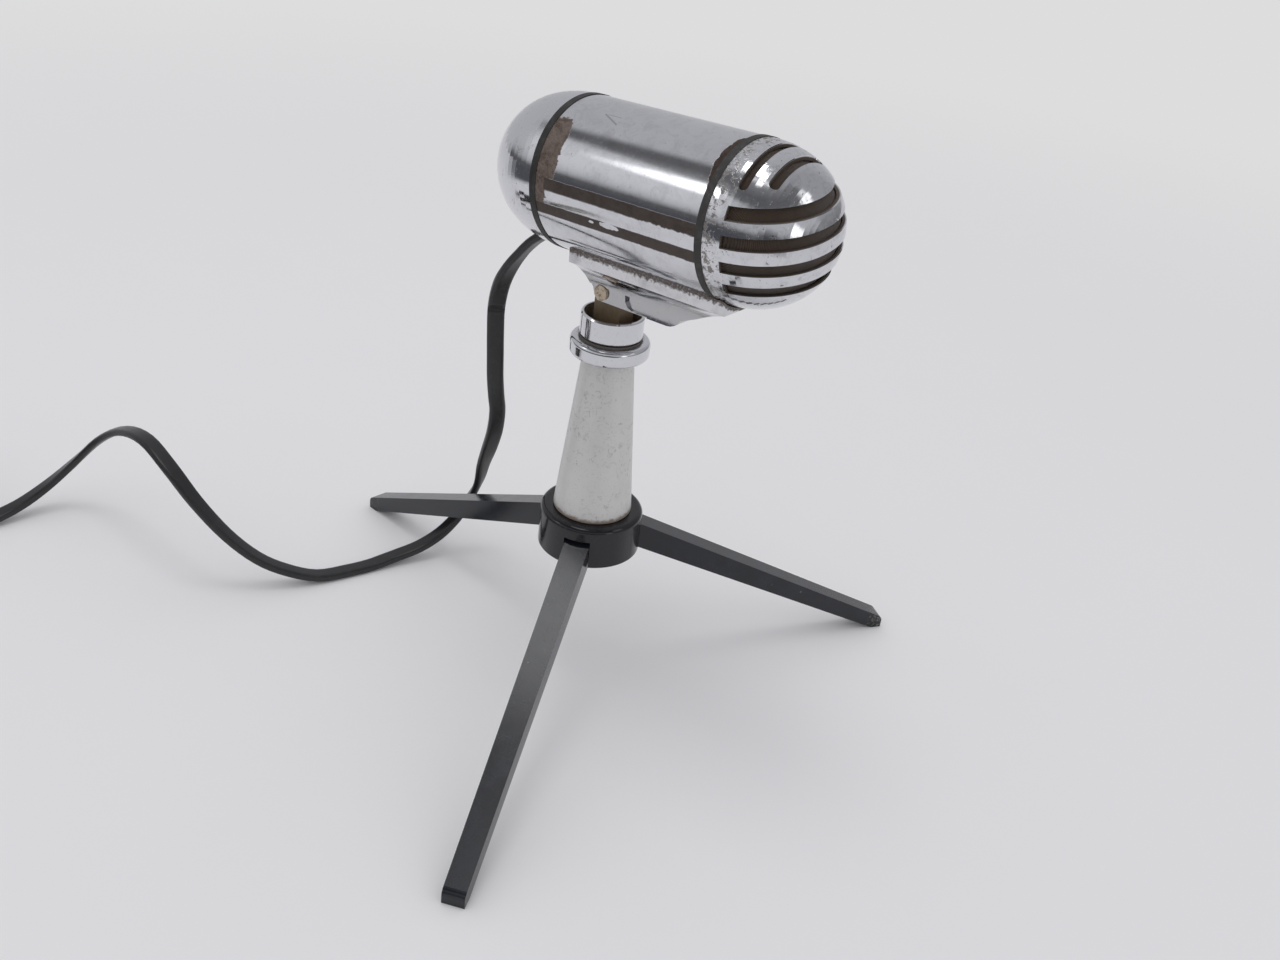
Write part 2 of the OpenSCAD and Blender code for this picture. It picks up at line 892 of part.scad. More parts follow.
// A cheese head with its driving slot
module screw_head(r, h) {
    difference() {
        cylinder(r = r, h = h);
        translate([-r - 1, -0.4, h - 0.8])
            cube([2 * r + 2, 0.8, 1]);
    }
}

module tilt_pin() {
    color("tan")
        in_head()
            translate(pin_at)
                rotate([90, 0, 0])
                    cylinder(r = pin_r, h = pin_l, center = true);
}

// Swivel

module swivel_cup() {
    color("silver")
        on_stem()
        translate([0, 0, cup_z])
            difference() {
                rotate_extrude()
                    polygon([
                        [stud_r + slip, 0], [cup_r - 0.4, 0], [cup_r, 0.4],
                        [cup_r, cup_rim_z - cup_z - 0.4], [cup_r - 0.3, cup_rim_z - cup_z],
                        [cup_r - cup_wall, cup_rim_z - cup_z], [cup_r - cup_wall, cup_floor],
                        [stud_r + slip, cup_floor]
                    ]);
            }
}

module tilt_lug() {
    base = cup_z + cup_floor;
    color("darkgoldenrod")
        on_stem()
        difference() {
            union() {
                rotate([90, 0, 0])
                    linear_extrude(lug_t, center = true) {
                        translate([-lug_half, base])
                            square([2 * lug_half, pin_z - base]);
                        translate([0, pin_z])
                            circle(r = lug_half);
                    }
                translate([0, 0, stud_end])
                    cylinder(r = stud_r, h = base - stud_end + 1);
            }
            translate([0, 0, pin_z])
                rotate([90, 0, 0])
                    cylinder(r = pin_r + slip, h = 2 * lug_t, center = true);
        }
}

// Conical spring washer between the stem's top plate and the nut
module spring_washer() {
    under = collar_z - stem_top_t - seat;
    color("gray")
        on_stem()
        translate([0, 0, under - 1])
            rotate_extrude()
                polygon([
                    [stud_r + slip, 0], [stud_r + 0.9, 0], [4.4, 0.45],
                    [4.4, 1], [stud_r + 0.9, 0.55], [stud_r + slip, 0.55]
                ]);
}

module swivel_nut() {
    under = collar_z - stem_top_t - seat - 1;
    color("gold")
        on_stem()
        translate([0, 0, under - 3.2])
            difference() {
                cylinder(r = 3.9, h = 3.2, $fn = 6);
                translate([0, 0, -1])
                    cylinder(r = stud_r + slip / 5, h = 6);
            }
}

// Stand

module collar_ring() {
    round_r = 1.4;
    color("silver")
        on_stem()
        translate([0, 0, collar_z])
            rotate_extrude()
                difference() {
                    union() {
                        translate([stud_r + 2 * slip, 0])
                            square([cup_r + 0.4 - stud_r, collar_h]);
                        translate([cup_r - 2, round_r + 0.2])
                            square([collar_r - cup_r + 2, collar_h - 2 * round_r - 0.6]);
                        translate([collar_r - round_r, round_r + 0.2])
                            circle(r = round_r, $fn = 32);
                        translate([collar_r - round_r, collar_h - round_r - 0.4])
                            circle(r = round_r, $fn = 32);
                        translate([cup_r - 2, 0.2])
                            square([collar_r - round_r - cup_r + 2, collar_h - 0.6]);
                    }
                    translate([cup_r - 0.1, collar_h - 0.7])
                        square([0.7, 1]);
                }
}

module stem_cone() {
    lip = 1;
    color("silver")
        on_stem()
        translate([0, 0, stem_z])
            rotate_extrude()
                polygon([
                    [stem_foot_r - stem_wall, 0], [stem_foot_r - 0.2, 0], [stem_foot_r, 0.3],
                    [stem_top_r, stem_l - 0.3], [stem_top_r - 0.3, stem_l],
                    [stud_r + 2 * slip, stem_l], [stud_r + 2 * slip, stem_l - stem_top_t],
                    [stem_top_r - stem_wall - lip * 0.2, stem_l - stem_top_t],
                    [stem_foot_r - stem_wall, bush_h]
                ]);
}

module stem_bush() {
    color("khaki")
        on_stem()
        translate([0, 0, stem_z])
            difference() {
                cylinder(r = stem_foot_r - stem_wall - slip, h = bush_h);
                translate([0, 0, -1])
                    cylinder(r = hub_screw_r + slip, h = bush_h + 2);
            }
}

module hub() {
    shoulder = 1.6;
    color("black")
        on_stem()
        difference() {
            translate([0, 0, hub_z])
                rotate_extrude()
                    difference() {
                        union() {
                            square([hub_r, hub_h - shoulder]);
                            square([hub_r - shoulder, hub_h]);
                            translate([hub_r - shoulder, hub_h - shoulder])
                                circle(r = shoulder, $fn = 48);
                        }
                        translate([-hub_r, 0])
                            square([hub_r, hub_h]);
                    }
            translate([0, 0, hub_z - 1])
                cylinder(r = hub_screw_r + slip, h = hub_h + 2);
            for (a = leg_angles)
                rotate([0, 0, a + leg_turn]) {
                    leg_slot();
                    translate([leg_pin_r, 0, leg_pin_z])
                        rotate([90, 0, 0])
                            cylinder(r = leg_pin_rad + slip / 5, h = 2 * slot_half + 7, center = true);
                }
        }
}

// One radial slot of the hub, open below and outside
module leg_slot() {
    roof = leg_pin_z + heel_r + leg_play;
    reach = hub_r + 2;
    rotate([90, 0, 0])
        linear_extrude(2 * slot_half, center = true)
            polygon([
                [leg_slot_in, hub_z - 1], [leg_slot_in, roof], [leg_pin_r, roof],
                [hub_r, mouth_z], [reach, mouth_z], [reach, hub_z - 1]
            ]);
}

module hub_screw() {
    color("gainsboro")
        on_stem()
            translate([0, 0, hub_z]) {
                mirror([0, 0, 1])
                    screw_head(hub_head_r, hub_head_h);
                cylinder(r = hub_screw_r, h = hub_h + bush_h - 1);
            }
}

module leg_pins() {
    color("gainsboro")
        on_stem()
        for (a = leg_angles)
            rotate([0, 0, a + leg_turn])
                translate([leg_pin_r, 0, leg_pin_z])
                    rotate([90, 0, 0])
                        cylinder(r = leg_pin_rad, h = 2 * slot_half + 6.6, center = true);
}

// Side of an open leg, with the heel that stops it against the slot's inner end
module leg_side() {
    half = leg_h / 2;
    polygon([
        [leg_pin_r - half * sin(splay), leg_pin_z - half * cos(splay)],
        [toe_reach - sole_l, 0], [toe_reach, 0],
        for (i = [0:toe_steps])
            let (a = (90 - leg_fall) * i / toe_steps)
            [toe_reach - toe_round * (1 - cos(a)), toe_turn_z + toe_round * sin(a)],
        [leg_pin_r + half * sin(splay), leg_pin_z + half * cos(splay)]
    ]);
    translate([leg_pin_r, leg_pin_z]) {
        circle(r = half);
        intersection() {
            circle(r = heel_r);
            translate([-half, 0])
                square([half, heel_r]);
        }
    }
}

module leg_plan() {
    polygon([
        [0, -leg_w / 2], [leg_pin_r, -leg_w / 2], [toe_reach, -foot_w / 2],
        [toe_reach, foot_w / 2], [leg_pin_r, leg_w / 2], [0, leg_w / 2]
    ]);
}

module leg(a) {
    color("dimgray")
        on_stem()
            rotate([0, 0, a + leg_turn])
                difference() {
                    intersection() {
                        rotate([90, 0, 0])
                            linear_extrude(2 * leg_w, center = true)
                                leg_side();
                        linear_extrude(leg_pin_z + leg_h)
                            leg_plan();
                    }
                    translate([leg_pin_r, 0, leg_pin_z])
                        rotate([90, 0, 0])
                            cylinder(r = leg_pin_rad + slip, h = 2 * leg_w, center = true);
                }
}

module leg_front() {
    leg(leg_angles[0]);
}

module leg_right() {
    leg(leg_angles[1]);
}

module leg_back() {
    leg(leg_angles[2]);
}

// Lead

module lead_drop() {
    color("black")
        on_stem()
        sweep(drop_route, lead_section(lead_w, lead_t));
}

module lead_floor() {
    color("black")
        on_stem()
        sweep(floor_route, lead_section(lead_w, lead_t));
}

// Radius of the coil after s turns: in for the first half, out again for the second.
// It draws in further where it climbs, to clear the turns below and above.
function coil_radius(s) =
    let (u = abs(s - half_turns))
        coil_out - coil_pitch * (half_turns - u) - coil_dip * min(1, max(0, 1.5 - 2 * u));

// Height of the coil's middle after s turns, climbing in the half turn where it reverses
function coil_height(s) =
    layer_z[0] + (layer_z[1] - layer_z[0]) * min(1, max(0, 2 * (s - half_turns) + 0.5));

// Place on the coil after s turns
function coil_point(s) = [
    coil_at[0] + coil_radius(s) * cos(-360 * s),
    coil_at[1] + coil_radius(s) * sin(-360 * s),
    coil_height(s)
];

coil_path = [
    for (i = [0:coil_steps * coil_turns])
        [coil_point(i / coil_steps), [0, 0, 1]]
];

coil_end = coil_point(coil_turns);
tail_drop = plug_r - coil_end[2];

tail_path = [
    [coil_end + [0, -lead_w, 0], [0, 0, 1]],
    [coil_end + [0, -tail_l / 2, tail_drop / 2], [0, 0, 1]],
    [coil_end + [0, lead_w - tail_l, tail_drop], [0, 0, 1]],
    [coil_end + [0, -tail_l, tail_drop], [0, 0, 1]]
];

module lead_coil() {
    color("black")
        on_stem()
        sweep(
            concat([floor_route[len(floor_route) - 1]], coil_path, tail_path),
            lead_section(lead_w, lead_t)
        );
}

// Least gap between the turns of the coil, half a turn or more apart along it
coil_points = [for (r = coil_path) r[0]];
coil_gaps = [
    for (i = [0:len(coil_points) - 1], j = [i + 12:1:len(coil_points) - 1])
        let (d = coil_points[i] - coil_points[j])
        max(norm([d[0], d[1]]) - lead_t, abs(d[2]) - lead_w)
];
echo(least_coil_gap = min(coil_gaps));

// A strap round all the turns on one side of the coil
module coil_tie() {
    strap = 0.6;
    strap_half = 3;
    inside = [coil_radius(half_turns) - lead_t / 2, layer_z[0] - lead_w / 2];
    outside = [coil_out + lead_t / 2, layer_z[1] + lead_w / 2];
    color("dimgray")
        on_stem()
        translate([coil_at[0], coil_at[1], 0])
            rotate([0, 0, 195])
                rotate([90, 0, 0])
                    linear_extrude(2 * strap_half, center = true)
                        difference() {
                            translate(inside - [strap, strap])
                                square(outside - inside + 2 * [strap, strap]);
                            translate(inside)
                                square(outside - inside);
                        }
}

// Plug, lying along -Y from the end of the lead

module at_plug(y) {
    on_stem()
        translate([coil_end[0], coil_end[1] - tail_l - y, plug_r])
            rotate([90, 0, 0])
                children();
}

boot_l = 12;

module plug_boot() {
    color("black")
        at_plug(0)
            rotate_extrude()
                polygon([[0, 0], [3.6, 0], [5.4, boot_l], [5.4, boot_l + 2], [0, boot_l + 2]]);
}

module plug_shell() {
    wall = 0.9;
    color("silver")
        at_plug(boot_l)
            rotate_extrude()
                polygon([
                    [5.4 + slip, 0], [plug_r - 0.8, 0], [plug_r, 0.8], [plug_r, plug_l - 9],
                    [plug_r - 0.6, plug_l - 8.4], [plug_r - 0.6, plug_l],
                    [plug_r - 0.6 - wall, plug_l], [plug_r - 0.6 - wall, 4], [5.4 + slip, 4]
                ]);
}

module plug_insert() {
    color("black")
        at_plug(boot_l + 4)
            cylinder(r = plug_r - 1.5 - slip, h = plug_l - 13);
}

module plug_pins() {
    color("gold")
        at_plug(boot_l + plug_l - 9)
            for (a = [0, 90, 180])
                rotate([0, 0, a])
                    translate([pin_ring, 0, 0])
                        cylinder(r = plug_pin_r, h = 7.5);
}

rear_cap();
rear_gasket();
body_sleeve();
front_gasket();
grille_dome();
grille_cloth();
capsule_ring();
diaphragm();
voice_coil();
top_plate();
pole_piece();
capsule_magnet();
capsule_case();
capsule_cushion();
chassis_plate();
transformer_core();
transformer_winding();
transformer_bracket();
terminal_board();
solder_tags();
inner_wires();
lead_stub();
lead_grommet();
lead_clamp();
saddle();
saddle_screws();
tilt_pin();
swivel_cup();
tilt_lug();
spring_washer();
swivel_nut();
collar_ring();
stem_cone();
stem_bush();
hub();
hub_screw();
leg_pins();
leg_front();
leg_right();
leg_back();
lead_drop();
lead_floor();
lead_coil();
coil_tie();
plug_shell();
plug_boot();
plug_insert();
plug_pins();
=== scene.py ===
import math
import bmesh
import bpy
from mathutils import Matrix, Vector


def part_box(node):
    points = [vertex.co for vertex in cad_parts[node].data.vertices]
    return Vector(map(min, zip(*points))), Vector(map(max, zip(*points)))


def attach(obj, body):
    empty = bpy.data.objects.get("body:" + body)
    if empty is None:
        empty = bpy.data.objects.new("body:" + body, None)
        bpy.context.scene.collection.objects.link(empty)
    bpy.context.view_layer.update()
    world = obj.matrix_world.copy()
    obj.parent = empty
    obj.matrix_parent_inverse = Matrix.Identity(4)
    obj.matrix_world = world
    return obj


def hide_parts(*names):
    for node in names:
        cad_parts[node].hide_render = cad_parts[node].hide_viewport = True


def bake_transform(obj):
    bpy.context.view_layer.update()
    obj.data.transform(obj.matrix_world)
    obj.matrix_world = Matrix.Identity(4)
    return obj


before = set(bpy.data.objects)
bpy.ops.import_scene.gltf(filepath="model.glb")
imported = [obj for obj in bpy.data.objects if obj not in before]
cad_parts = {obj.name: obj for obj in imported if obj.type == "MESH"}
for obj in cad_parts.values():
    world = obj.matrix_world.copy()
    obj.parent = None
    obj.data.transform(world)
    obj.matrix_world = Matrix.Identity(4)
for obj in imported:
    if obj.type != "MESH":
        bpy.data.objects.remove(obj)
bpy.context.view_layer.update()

# Where the stem's axis stands from the frame's origin, in metres
STEM = Vector((0.0226695, 0.0033706, 0))

bpy.ops.object.select_all(action="DESELECT")


def on_stem(x, y, z):
    """A place in millimetres from the stem's foot, in the frame's metres."""
    return STEM + Vector((x, y, z)) / 1000


# ---------------------------------------------------------------- camera
camera_at = on_stem(189.8, -237.5, 241.4)
right = Vector((0.76145, 0.63817, 0.11375)).normalized()
back = Vector((0.51003, -0.69812, 0.50250)).normalized()
up = back.cross(right).normalized()
right = up.cross(back).normalized()
bpy.ops.object.camera_add(location=(0, 0, 0))
camera = bpy.context.object
camera.name = "camera"
camera.data.lens = 33.75
camera.data.sensor_width = 36
camera.data.clip_start = 0.01
camera.matrix_world = Matrix(
    (
        (right.x, up.x, back.x, camera_at.x),
        (right.y, up.y, back.y, camera_at.y),
        (right.z, up.z, back.z, camera_at.z),
        (0, 0, 0, 1),
    )
)
bpy.context.scene.camera = camera
bpy.ops.object.select_all(action="DESELECT")

# ---------------------------------------------------------------- head and lead
# The head in millimetres: its radius and height, where its domes start, and how long they are
HEAD_R = 20.2
HEAD_Z = 151.1
REAR_X, REAR_L = -15.3, 23.7
FRONT_X, FRONT_L = 39.3, 22.4
DOME_POWER = 2.16
NOSE_UP = math.radians(2.77)

# The lead's width and thickness in metres, and its outlet: how far round the dome, and its lean
LEAD_W = 0.0052
LEAD_T = 0.0026
OUTLET_AT = math.radians(29)
OUTLET_LEAN = math.radians(30)


def head_place(x, y, z):
    """A place in the head's own millimetres, in the frame's metres."""
    c, s = math.cos(NOSE_UP), math.sin(NOSE_UP)
    return on_stem(x * c - z * s, y, HEAD_Z + x * s + z * c)


def outlet(h):
    """A place on the lead's way out of the rear cap, h millimetres outside its surface."""
    x = REAR_X - REAR_L * math.sin(OUTLET_AT) ** (2 / DOME_POWER)
    z = -HEAD_R * math.cos(OUTLET_AT) ** (2 / DOME_POWER)
    return head_place(x - h * math.sin(OUTLET_LEAN), 0, z - h * math.cos(OUTLET_LEAN))


# Places on the lead in millimetres from the stem's foot, each with the way its width lies: first
# down to the table behind the stem, then on to the coil
DROP = [
    ((-31.4, 0, 126.2), (0, 1, 0)),
    ((-35.2, 0, 122.0), (-0.05, 1, 0)),
    ((-39.3, 0, 116.4), (0.2, 1, 0)),
    ((-42.6, 0, 110), (0.5, 0.9, 0)),
    ((-44.7, 0.5, 102), (0.65, 0.75, 0)),
    ((-45.5, 1.5, 93), (0.7, 0.7, 0)),
    ((-46, 2.5, 85), (0.7, 0.7, 0)),
    ((-47, 4, 77), (0.7, 0.7, 0)),
    ((-48.5, 6.5, 69), (0.7, 0.7, 0)),
    ((-50, 9, 62), (0.7, 0.7, 0)),
    ((-52.6, 11, 53), (0.6, 0.8, 0)),
    ((-56.2, 12.5, 44), (0.4, 0.9, 0)),
    ((-59.8, 14, 36), (0, 1, 0)),
    ((-62, 14.5, 28), (-0.4, 0.9, 0)),
    ((-64, 12.5, 21), (-0.7, 0.7, 0)),
    ((-66, 8.5, 14), (-0.9, 0.5, 0)),
    ((-68.5, 3, 8), (-0.9, 0.4, 0)),
    ((-71, -4, 4.4), (-0.9, 0.3, 0)),
    ((-73.6, -11, 2.7), (-0.9, 0.25, 0)),
]
FLOOR = [
    ((-75, -16, 2), (-0.9, 0.25, 0)),
    ((-76.4, -21, 1.4), (-0.9, 0.25, 0)),
    ((-78.5, -28, 1.4), (-0.9, 0.3, 0)),
    ((-82, -38, 2), (-0.9, 0.4, 0)),
    ((-87, -46.5, 5.5), (-0.8, 0.6, 0)),
    ((-92.5, -53.5, 10.5), (-0.7, 0.7, 0)),
    ((-99, -60, 19), (-0.6, 0.8, 0)),
    ((-107, -65, 29.5), (-0.4, 0.9, 0)),
    ((-117, -67, 38), (-0.1, 1, 0)),
    ((-130, -67, 42.5), (0, 1, 0)),
    ((-146, -66, 38.5), (0, 1, 0)),
    ((-160, -67, 29.5), (-0.3, 0.9, 0)),
    ((-170, -72, 18), (-0.7, 0.7, 0)),
    ((-175, -80, 9.5), (-0.9, 0.4, 0)),
    ((-176.5, -90, 4.5), (-1, 0.1, 0)),
    ((-177, -100, 2.6), (-1, 0, 0.2)),
    ((-177, -109, 2.8), (-0.9, 0, 0.5)),
    ((-177, -118, 3.3), (-0.5, 0, 0.9)),
    ((-177, -125, 3.6), (0, 0, 1)),
    ((-177, -131, 3.6), (0, 0, 1)),
]

# The coil in millimetres: outer radius, turns and the step between them, its middle, the height of
# its lower layer, and the rise to its upper one
COIL_OUT, COIL_TURNS, COIL_STEP = 36, 7, 3.2
COIL_X, COIL_Y = -177 - COIL_OUT, -137
COIL_LOW, COIL_RISE = 3.6, 6
COIL_PLACES = 24  # in each turn

# Past the coil the lead runs into the plug: how far on, and how far down
TAIL = ((5.2, 0), (13, -1.05), (20.8, -2.1), (26, -2.1))

# How many pieces each stretch between two places is cut into
LEAD_CUTS, COIL_CUTS = 4, 2

# The last ring of the lead that hangs from the head
HANGS_TO = 24


def coil_place(turn):
    """A place on the coil after so many turns: it winds in below and out again above.

    Where it climbs it draws in by half a step, clear of the turns beside it.
    """
    half = COIL_TURNS / 2
    u = abs(turn - half)
    draws_in = COIL_STEP / 2 * min(1, max(0, 1.5 - 2 * u))
    r = COIL_OUT - COIL_STEP * (half - u) - draws_in
    z = COIL_LOW + COIL_RISE * min(1, max(0, 2 * (turn - half) + 0.5))
    a = -2 * math.pi * turn
    return on_stem(COIL_X + r * math.cos(a), COIL_Y + r * math.sin(a), z)


def smooth_route(points, cuts):
    """The route with more places between its own, on a curve through all of them."""
    places = [p for p, _ in points]
    sides = [Vector(s).normalized() for _, s in points]
    last = len(places) - 1
    route = []
    for i in range(last):
        a, b = places[i], places[i + 1]
        m0 = (b - places[i - 1]) / 2 if i else b - a
        m1 = (places[i + 2] - a) / 2 if i + 1 < last else b - a
        for k in range(cuts):
            t = k / cuts
            place = (
                (2 * t**3 - 3 * t**2 + 1) * a
                + (t**3 - 2 * t**2 + t) * m0
                + (-2 * t**3 + 3 * t**2) * b
                + (t**3 - t**2) * m1
            )
            route.append((place, sides[i].lerp(sides[i + 1], t).normalized()))
    route.append((places[-1], sides[-1]))
    return route


def flat_section(w, t):
    """Corners of the flat lead's section, with the two shallow grooves between its three cores."""
    count = 28
    side_power, top_power = 0.55, 0.6
    groove_at, groove_half, groove_depth = w * 0.17, w * 0.06, 0.12
    corners = []
    for k in range(count):
        a = 2 * math.pi * k / count
        x = w / 2 * math.copysign(abs(math.cos(a)) ** side_power, math.cos(a))
        y = t / 2 * math.copysign(abs(math.sin(a)) ** top_power, math.sin(a))
        groove = math.exp(-(((abs(x) - groove_at) / groove_half) ** 2))
        corners.append((x, y * (1 - groove_depth * groove)))
    return corners


def lead_rings(route):
    """For each place: the place, the way across, the way out, and how far along it is."""
    rings = []
    far = 0.0
    for i, (place, side) in enumerate(route):
        ahead = route[min(i + 1, len(route) - 1)][0] - route[max(i - 1, 0)][0]
        ahead.normalize()
        across = (side - side.dot(ahead) * ahead).normalized()
        if i:
            far += (place - route[i - 1][0]).length
        rings.append((place, across, ahead.cross(across), far))
    return rings


def join_loops(bm, loops):
    """Smooth faces from each loop of vertices to the next, each with its row and column."""
    n = len(loops[0])
    faces = []
    for i in range(len(loops) - 1):
        for k in range(n):
            j = (k + 1) % n
            face = bm.faces.new((loops[i][k], loops[i][j], loops[i + 1][j], loops[i + 1][k]))
            face.smooth = True
            faces.append((face, i, k))
    return faces


def piece_from(bm, name):
    """A new piece with the mesh made in bm."""
    mesh = bpy.data.meshes.new(name)
    bm.to_mesh(mesh)
    bm.free()
    piece = bpy.data.objects.new(name, mesh)
    bpy.context.collection.objects.link(piece)
    return piece


def lead_piece(name, rings):
    """A length of the flat lead swept along its rings, with a map that runs lengthways."""
    section = flat_section(LEAD_W, LEAD_T)
    bm = bmesh.new()
    along = bm.loops.layers.uv.new("along")
    loops = [
        [bm.verts.new(place + x * across + y * out) for x, y in section]
        for place, across, out, _ in rings
    ]
    for face, i, k in join_loops(bm, loops):
        corners = ((i, k), (i, k + 1), (i + 1, k + 1), (i + 1, k))
        for loop, (u, v) in zip(face.loops, corners):
            loop[along].uv = (rings[u][3], v / len(section))
    bm.faces.new(list(reversed(loops[0])))
    bm.faces.new(loops[-1])
    bmesh.ops.recalc_face_normals(bm, faces=bm.faces)
    return piece_from(bm, name)


drop_points = [(outlet(1.8), (0.1, 1, 0)), (outlet(3.2), (0.05, 1, 0))]
drop_points += [(on_stem(*p), s) for p, s in DROP + FLOOR[:1]]
floor_points = [(on_stem(*p), s) for p, s in FLOOR]
coil_turns = [i / COIL_PLACES for i in range(COIL_PLACES * COIL_TURNS + 1)]
coil_points = floor_points[-1:] + [(coil_place(turn), (0, 0, 1)) for turn in coil_turns]
for step, fall in TAIL:
    coil_points.append((coil_place(COIL_TURNS) + Vector((0, -step, fall)) / 1000, (0, 0, 1)))

lead_route = smooth_route(drop_points, LEAD_CUTS)
lead_route += smooth_route(floor_points, LEAD_CUTS)[1:] + smooth_route(coil_points, COIL_CUTS)[1:]
rings = lead_rings(lead_route)

lead_upper = lead_piece("lead_upper", rings[: HANGS_TO + 1])
lead_main = lead_piece("lead_main", rings[HANGS_TO:])

# ---------------------------------------------------------------- materials


class Nodes:
    """A node tree put together node by node. Its places are in metres."""

    def __init__(self, tree, place):
        self.tree = tree
        self.tree.nodes.clear()
        self.place = self.add("ShaderNodeTexCoord").outputs[place]

    def add(self, kind, **settings):
        """A new node with these settings."""
        made = self.tree.nodes.new(kind)
        for key, value in settings.items():
            setattr(made, key, value)
        return made

    def plug(self, value, socket):
        """Link an output to a socket, or set a plain value; nothing for None."""
        if isinstance(value, bpy.types.NodeSocket):
            self.tree.links.new(value, socket)
        elif value is not None:
            socket.default_value = value

    def plug_all(self, made, *values):
        """Plug the values into a node's inputs in turn, and give its first output."""
        for value, socket in zip(values, made.inputs):
            self.plug(value, socket)
        return made.outputs[0]

    def calc(self, operation, a, b=None):
        """One sum of one or two numbers."""
        return self.plug_all(self.add("ShaderNodeMath", operation=operation), a, b)

    def calc_all(self, operation, values):
        """The same sum over all the values, from left to right."""
        total = values[0]
        for value in values[1:]:
            total = self.calc(operation, total, value)
        return total

    def plus(self, *values):
        return self.calc_all("ADD", values)

    def times(self, *values):
        return self.calc_all("MULTIPLY", values)

    def most(self, *values):
        return self.calc_all("MAXIMUM", values)

    def minus(self, a, b):
        return self.calc("SUBTRACT", a, b)

    def length(self, x, y):
        """Length of the arrow x, y."""
        return self.calc("SQRT", self.plus(self.times(x, x), self.times(y, y)))

    def ridges(self, x, pitch):
        """Rounded ridges, 0 to 1, two of them in each pitch along x."""
        return self.calc("ABSOLUTE", self.calc("SINE", self.times(x, 2 * math.pi / pitch)))

    def step(self, value, low, high, at_low=0.0, at_high=1.0):
        """A smooth step from low to high; low may be the greater."""
        made = self.add("ShaderNodeMapRange", interpolation_type="SMOOTHSTEP")
        return self.plug_all(made, value, low, high, at_low, at_high)

    def noise(self, size, detail=2.0, rough=0.5, warp=0.0, at=None):
        """Cloudy noise whose features are so many millimetres across."""
        made = self.add("ShaderNodeTexNoise")
        self.plug(at or self.place, made.inputs["Vector"])
        self.plug(1000 / size if at is None else 1 / size, made.inputs["Scale"])
        self.plug(detail, made.inputs["Detail"])
        self.plug(rough, made.inputs["Roughness"])
        self.plug(warp, made.inputs["Distortion"])
        return made.outputs[0]

    def colour(self, amount, a, b, **settings):
        """A mix of two colours: a at amount 0, b at 1."""
        made = self.add("ShaderNodeMix", data_type="RGBA", **settings)
        self.plug(amount, made.inputs[0])
        self.plug(a if isinstance(a, bpy.types.NodeSocket) else (*a, 1), made.inputs[6])
        self.plug(b if isinstance(b, bpy.types.NodeSocket) else (*b, 1), made.inputs[7])
        return made.outputs[2]

    def blend(self, amount, a, b):
        """A mix of two numbers: a at amount 0, b at 1."""
        made = self.add("ShaderNodeMix", data_type="FLOAT")
        self.plug(amount, made.inputs[0])
        self.plug(a, made.inputs[2])
        self.plug(b, made.inputs[3])
        return made.outputs[0]

    def bump(self, height, depth, strength=1.0, under=None):
        """A bump whose full height is so many millimetres deep."""
        made = self.add("ShaderNodeBump")
        self.plug(strength, made.inputs["Strength"])
        self.plug(depth / 1000, made.inputs["Distance"])
        self.plug(height, made.inputs["Height"])
        self.plug(under, made.inputs["Normal"])
        return made.outputs[0]

    def mapped(self, origin, turn=(0, 0, 0), scale=(1, 1, 1)):
        """Places in millimetres from an origin, on axes turned with a piece."""
        made = self.add("ShaderNodeMapping", vector_type="TEXTURE")
        self.plug(tuple(origin), made.inputs["Location"])
        self.plug(turn, made.inputs["Rotation"])
        self.plug(tuple(s / 1000 for s in scale), made.inputs["Scale"])
        self.plug(self.place, made.inputs["Vector"])
        return made.outputs[0]

    def choose(self, amount, a, b):
        """A mix of two shaders: a at amount 0, b at 1."""
        return self.plug_all(self.add("ShaderNodeMixShader"), amount, a, b)

    def shine(self, kind, colour):
        """A shader that gives light of one colour."""
        made = self.add(kind)
        self.plug(colour, made.inputs["Color"])
        return made.outputs[0]

    def axes(self, vector):
        """The x, y and z of a place."""
        made = self.add("ShaderNodeSeparateXYZ")
        self.plug(vector, made.inputs[0])
        return made.outputs

    def near(self, x, x_at, x_reach, y, y_at, y_reach):
        """How far a place is from the middle of an oval, 1 on its outline."""
        a = self.calc("DIVIDE", self.minus(x, x_at), x_reach)
        b = self.calc("DIVIDE", self.minus(y, y_at), y_reach)
        return self.length(a, b)


class Finish(Nodes):
    """One material: a principled shader and what feeds it."""

    def __init__(self, name, **sockets):
        self.material = bpy.data.materials.new(name)
        self.material.use_nodes = True
        super().__init__(self.material.node_tree, "Object")
        self.output = self.add("ShaderNodeOutputMaterial").inputs[0]
        self.shader = self.add("ShaderNodeBsdfPrincipled")
        self.plug(self.shader.outputs[0], self.output)
        self.set(**sockets)

    def set(self, **sockets):
        """Plug values into the shader by its sockets' names."""
        for key, value in sockets.items():
            self.plug(value, self.shader.inputs[key.replace("_", " ")])


def dress(finish, *names):
    """Put one finish on pieces that come from the frame."""
    for name in names:
        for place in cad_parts[name].material_slots:
            place.material = finish.material


CHROME = (0.70, 0.705, 0.73)
# The dark brown of the grille cap's painted shade in its slots
SLOT_SHADE_BROWN = (0.085, 0.060, 0.042)


def head_frame(finish):
    """Places in the head's own millimetres: x along it, y away from the near side, z up."""
    return finish.mapped(head_place(0, 0, 0), (0, -NOSE_UP, 0))


def chrome_wear(finish, haze, at=None):
    """Roughness of old chrome plate, and the cloudy haze and finer flecks in it."""
    clean = 0.07
    cloud = finish.step(finish.noise(9, 4, 0.6, 0.4, at), 0.42, 0.72)
    fleck = finish.step(finish.noise(0.9, 3, 0.7, 0.2, at), 0.56, 0.70)
    rough = finish.plus(finish.times(cloud, haze), finish.times(fleck, haze * 1.2), clean)
    return rough, cloud, fleck


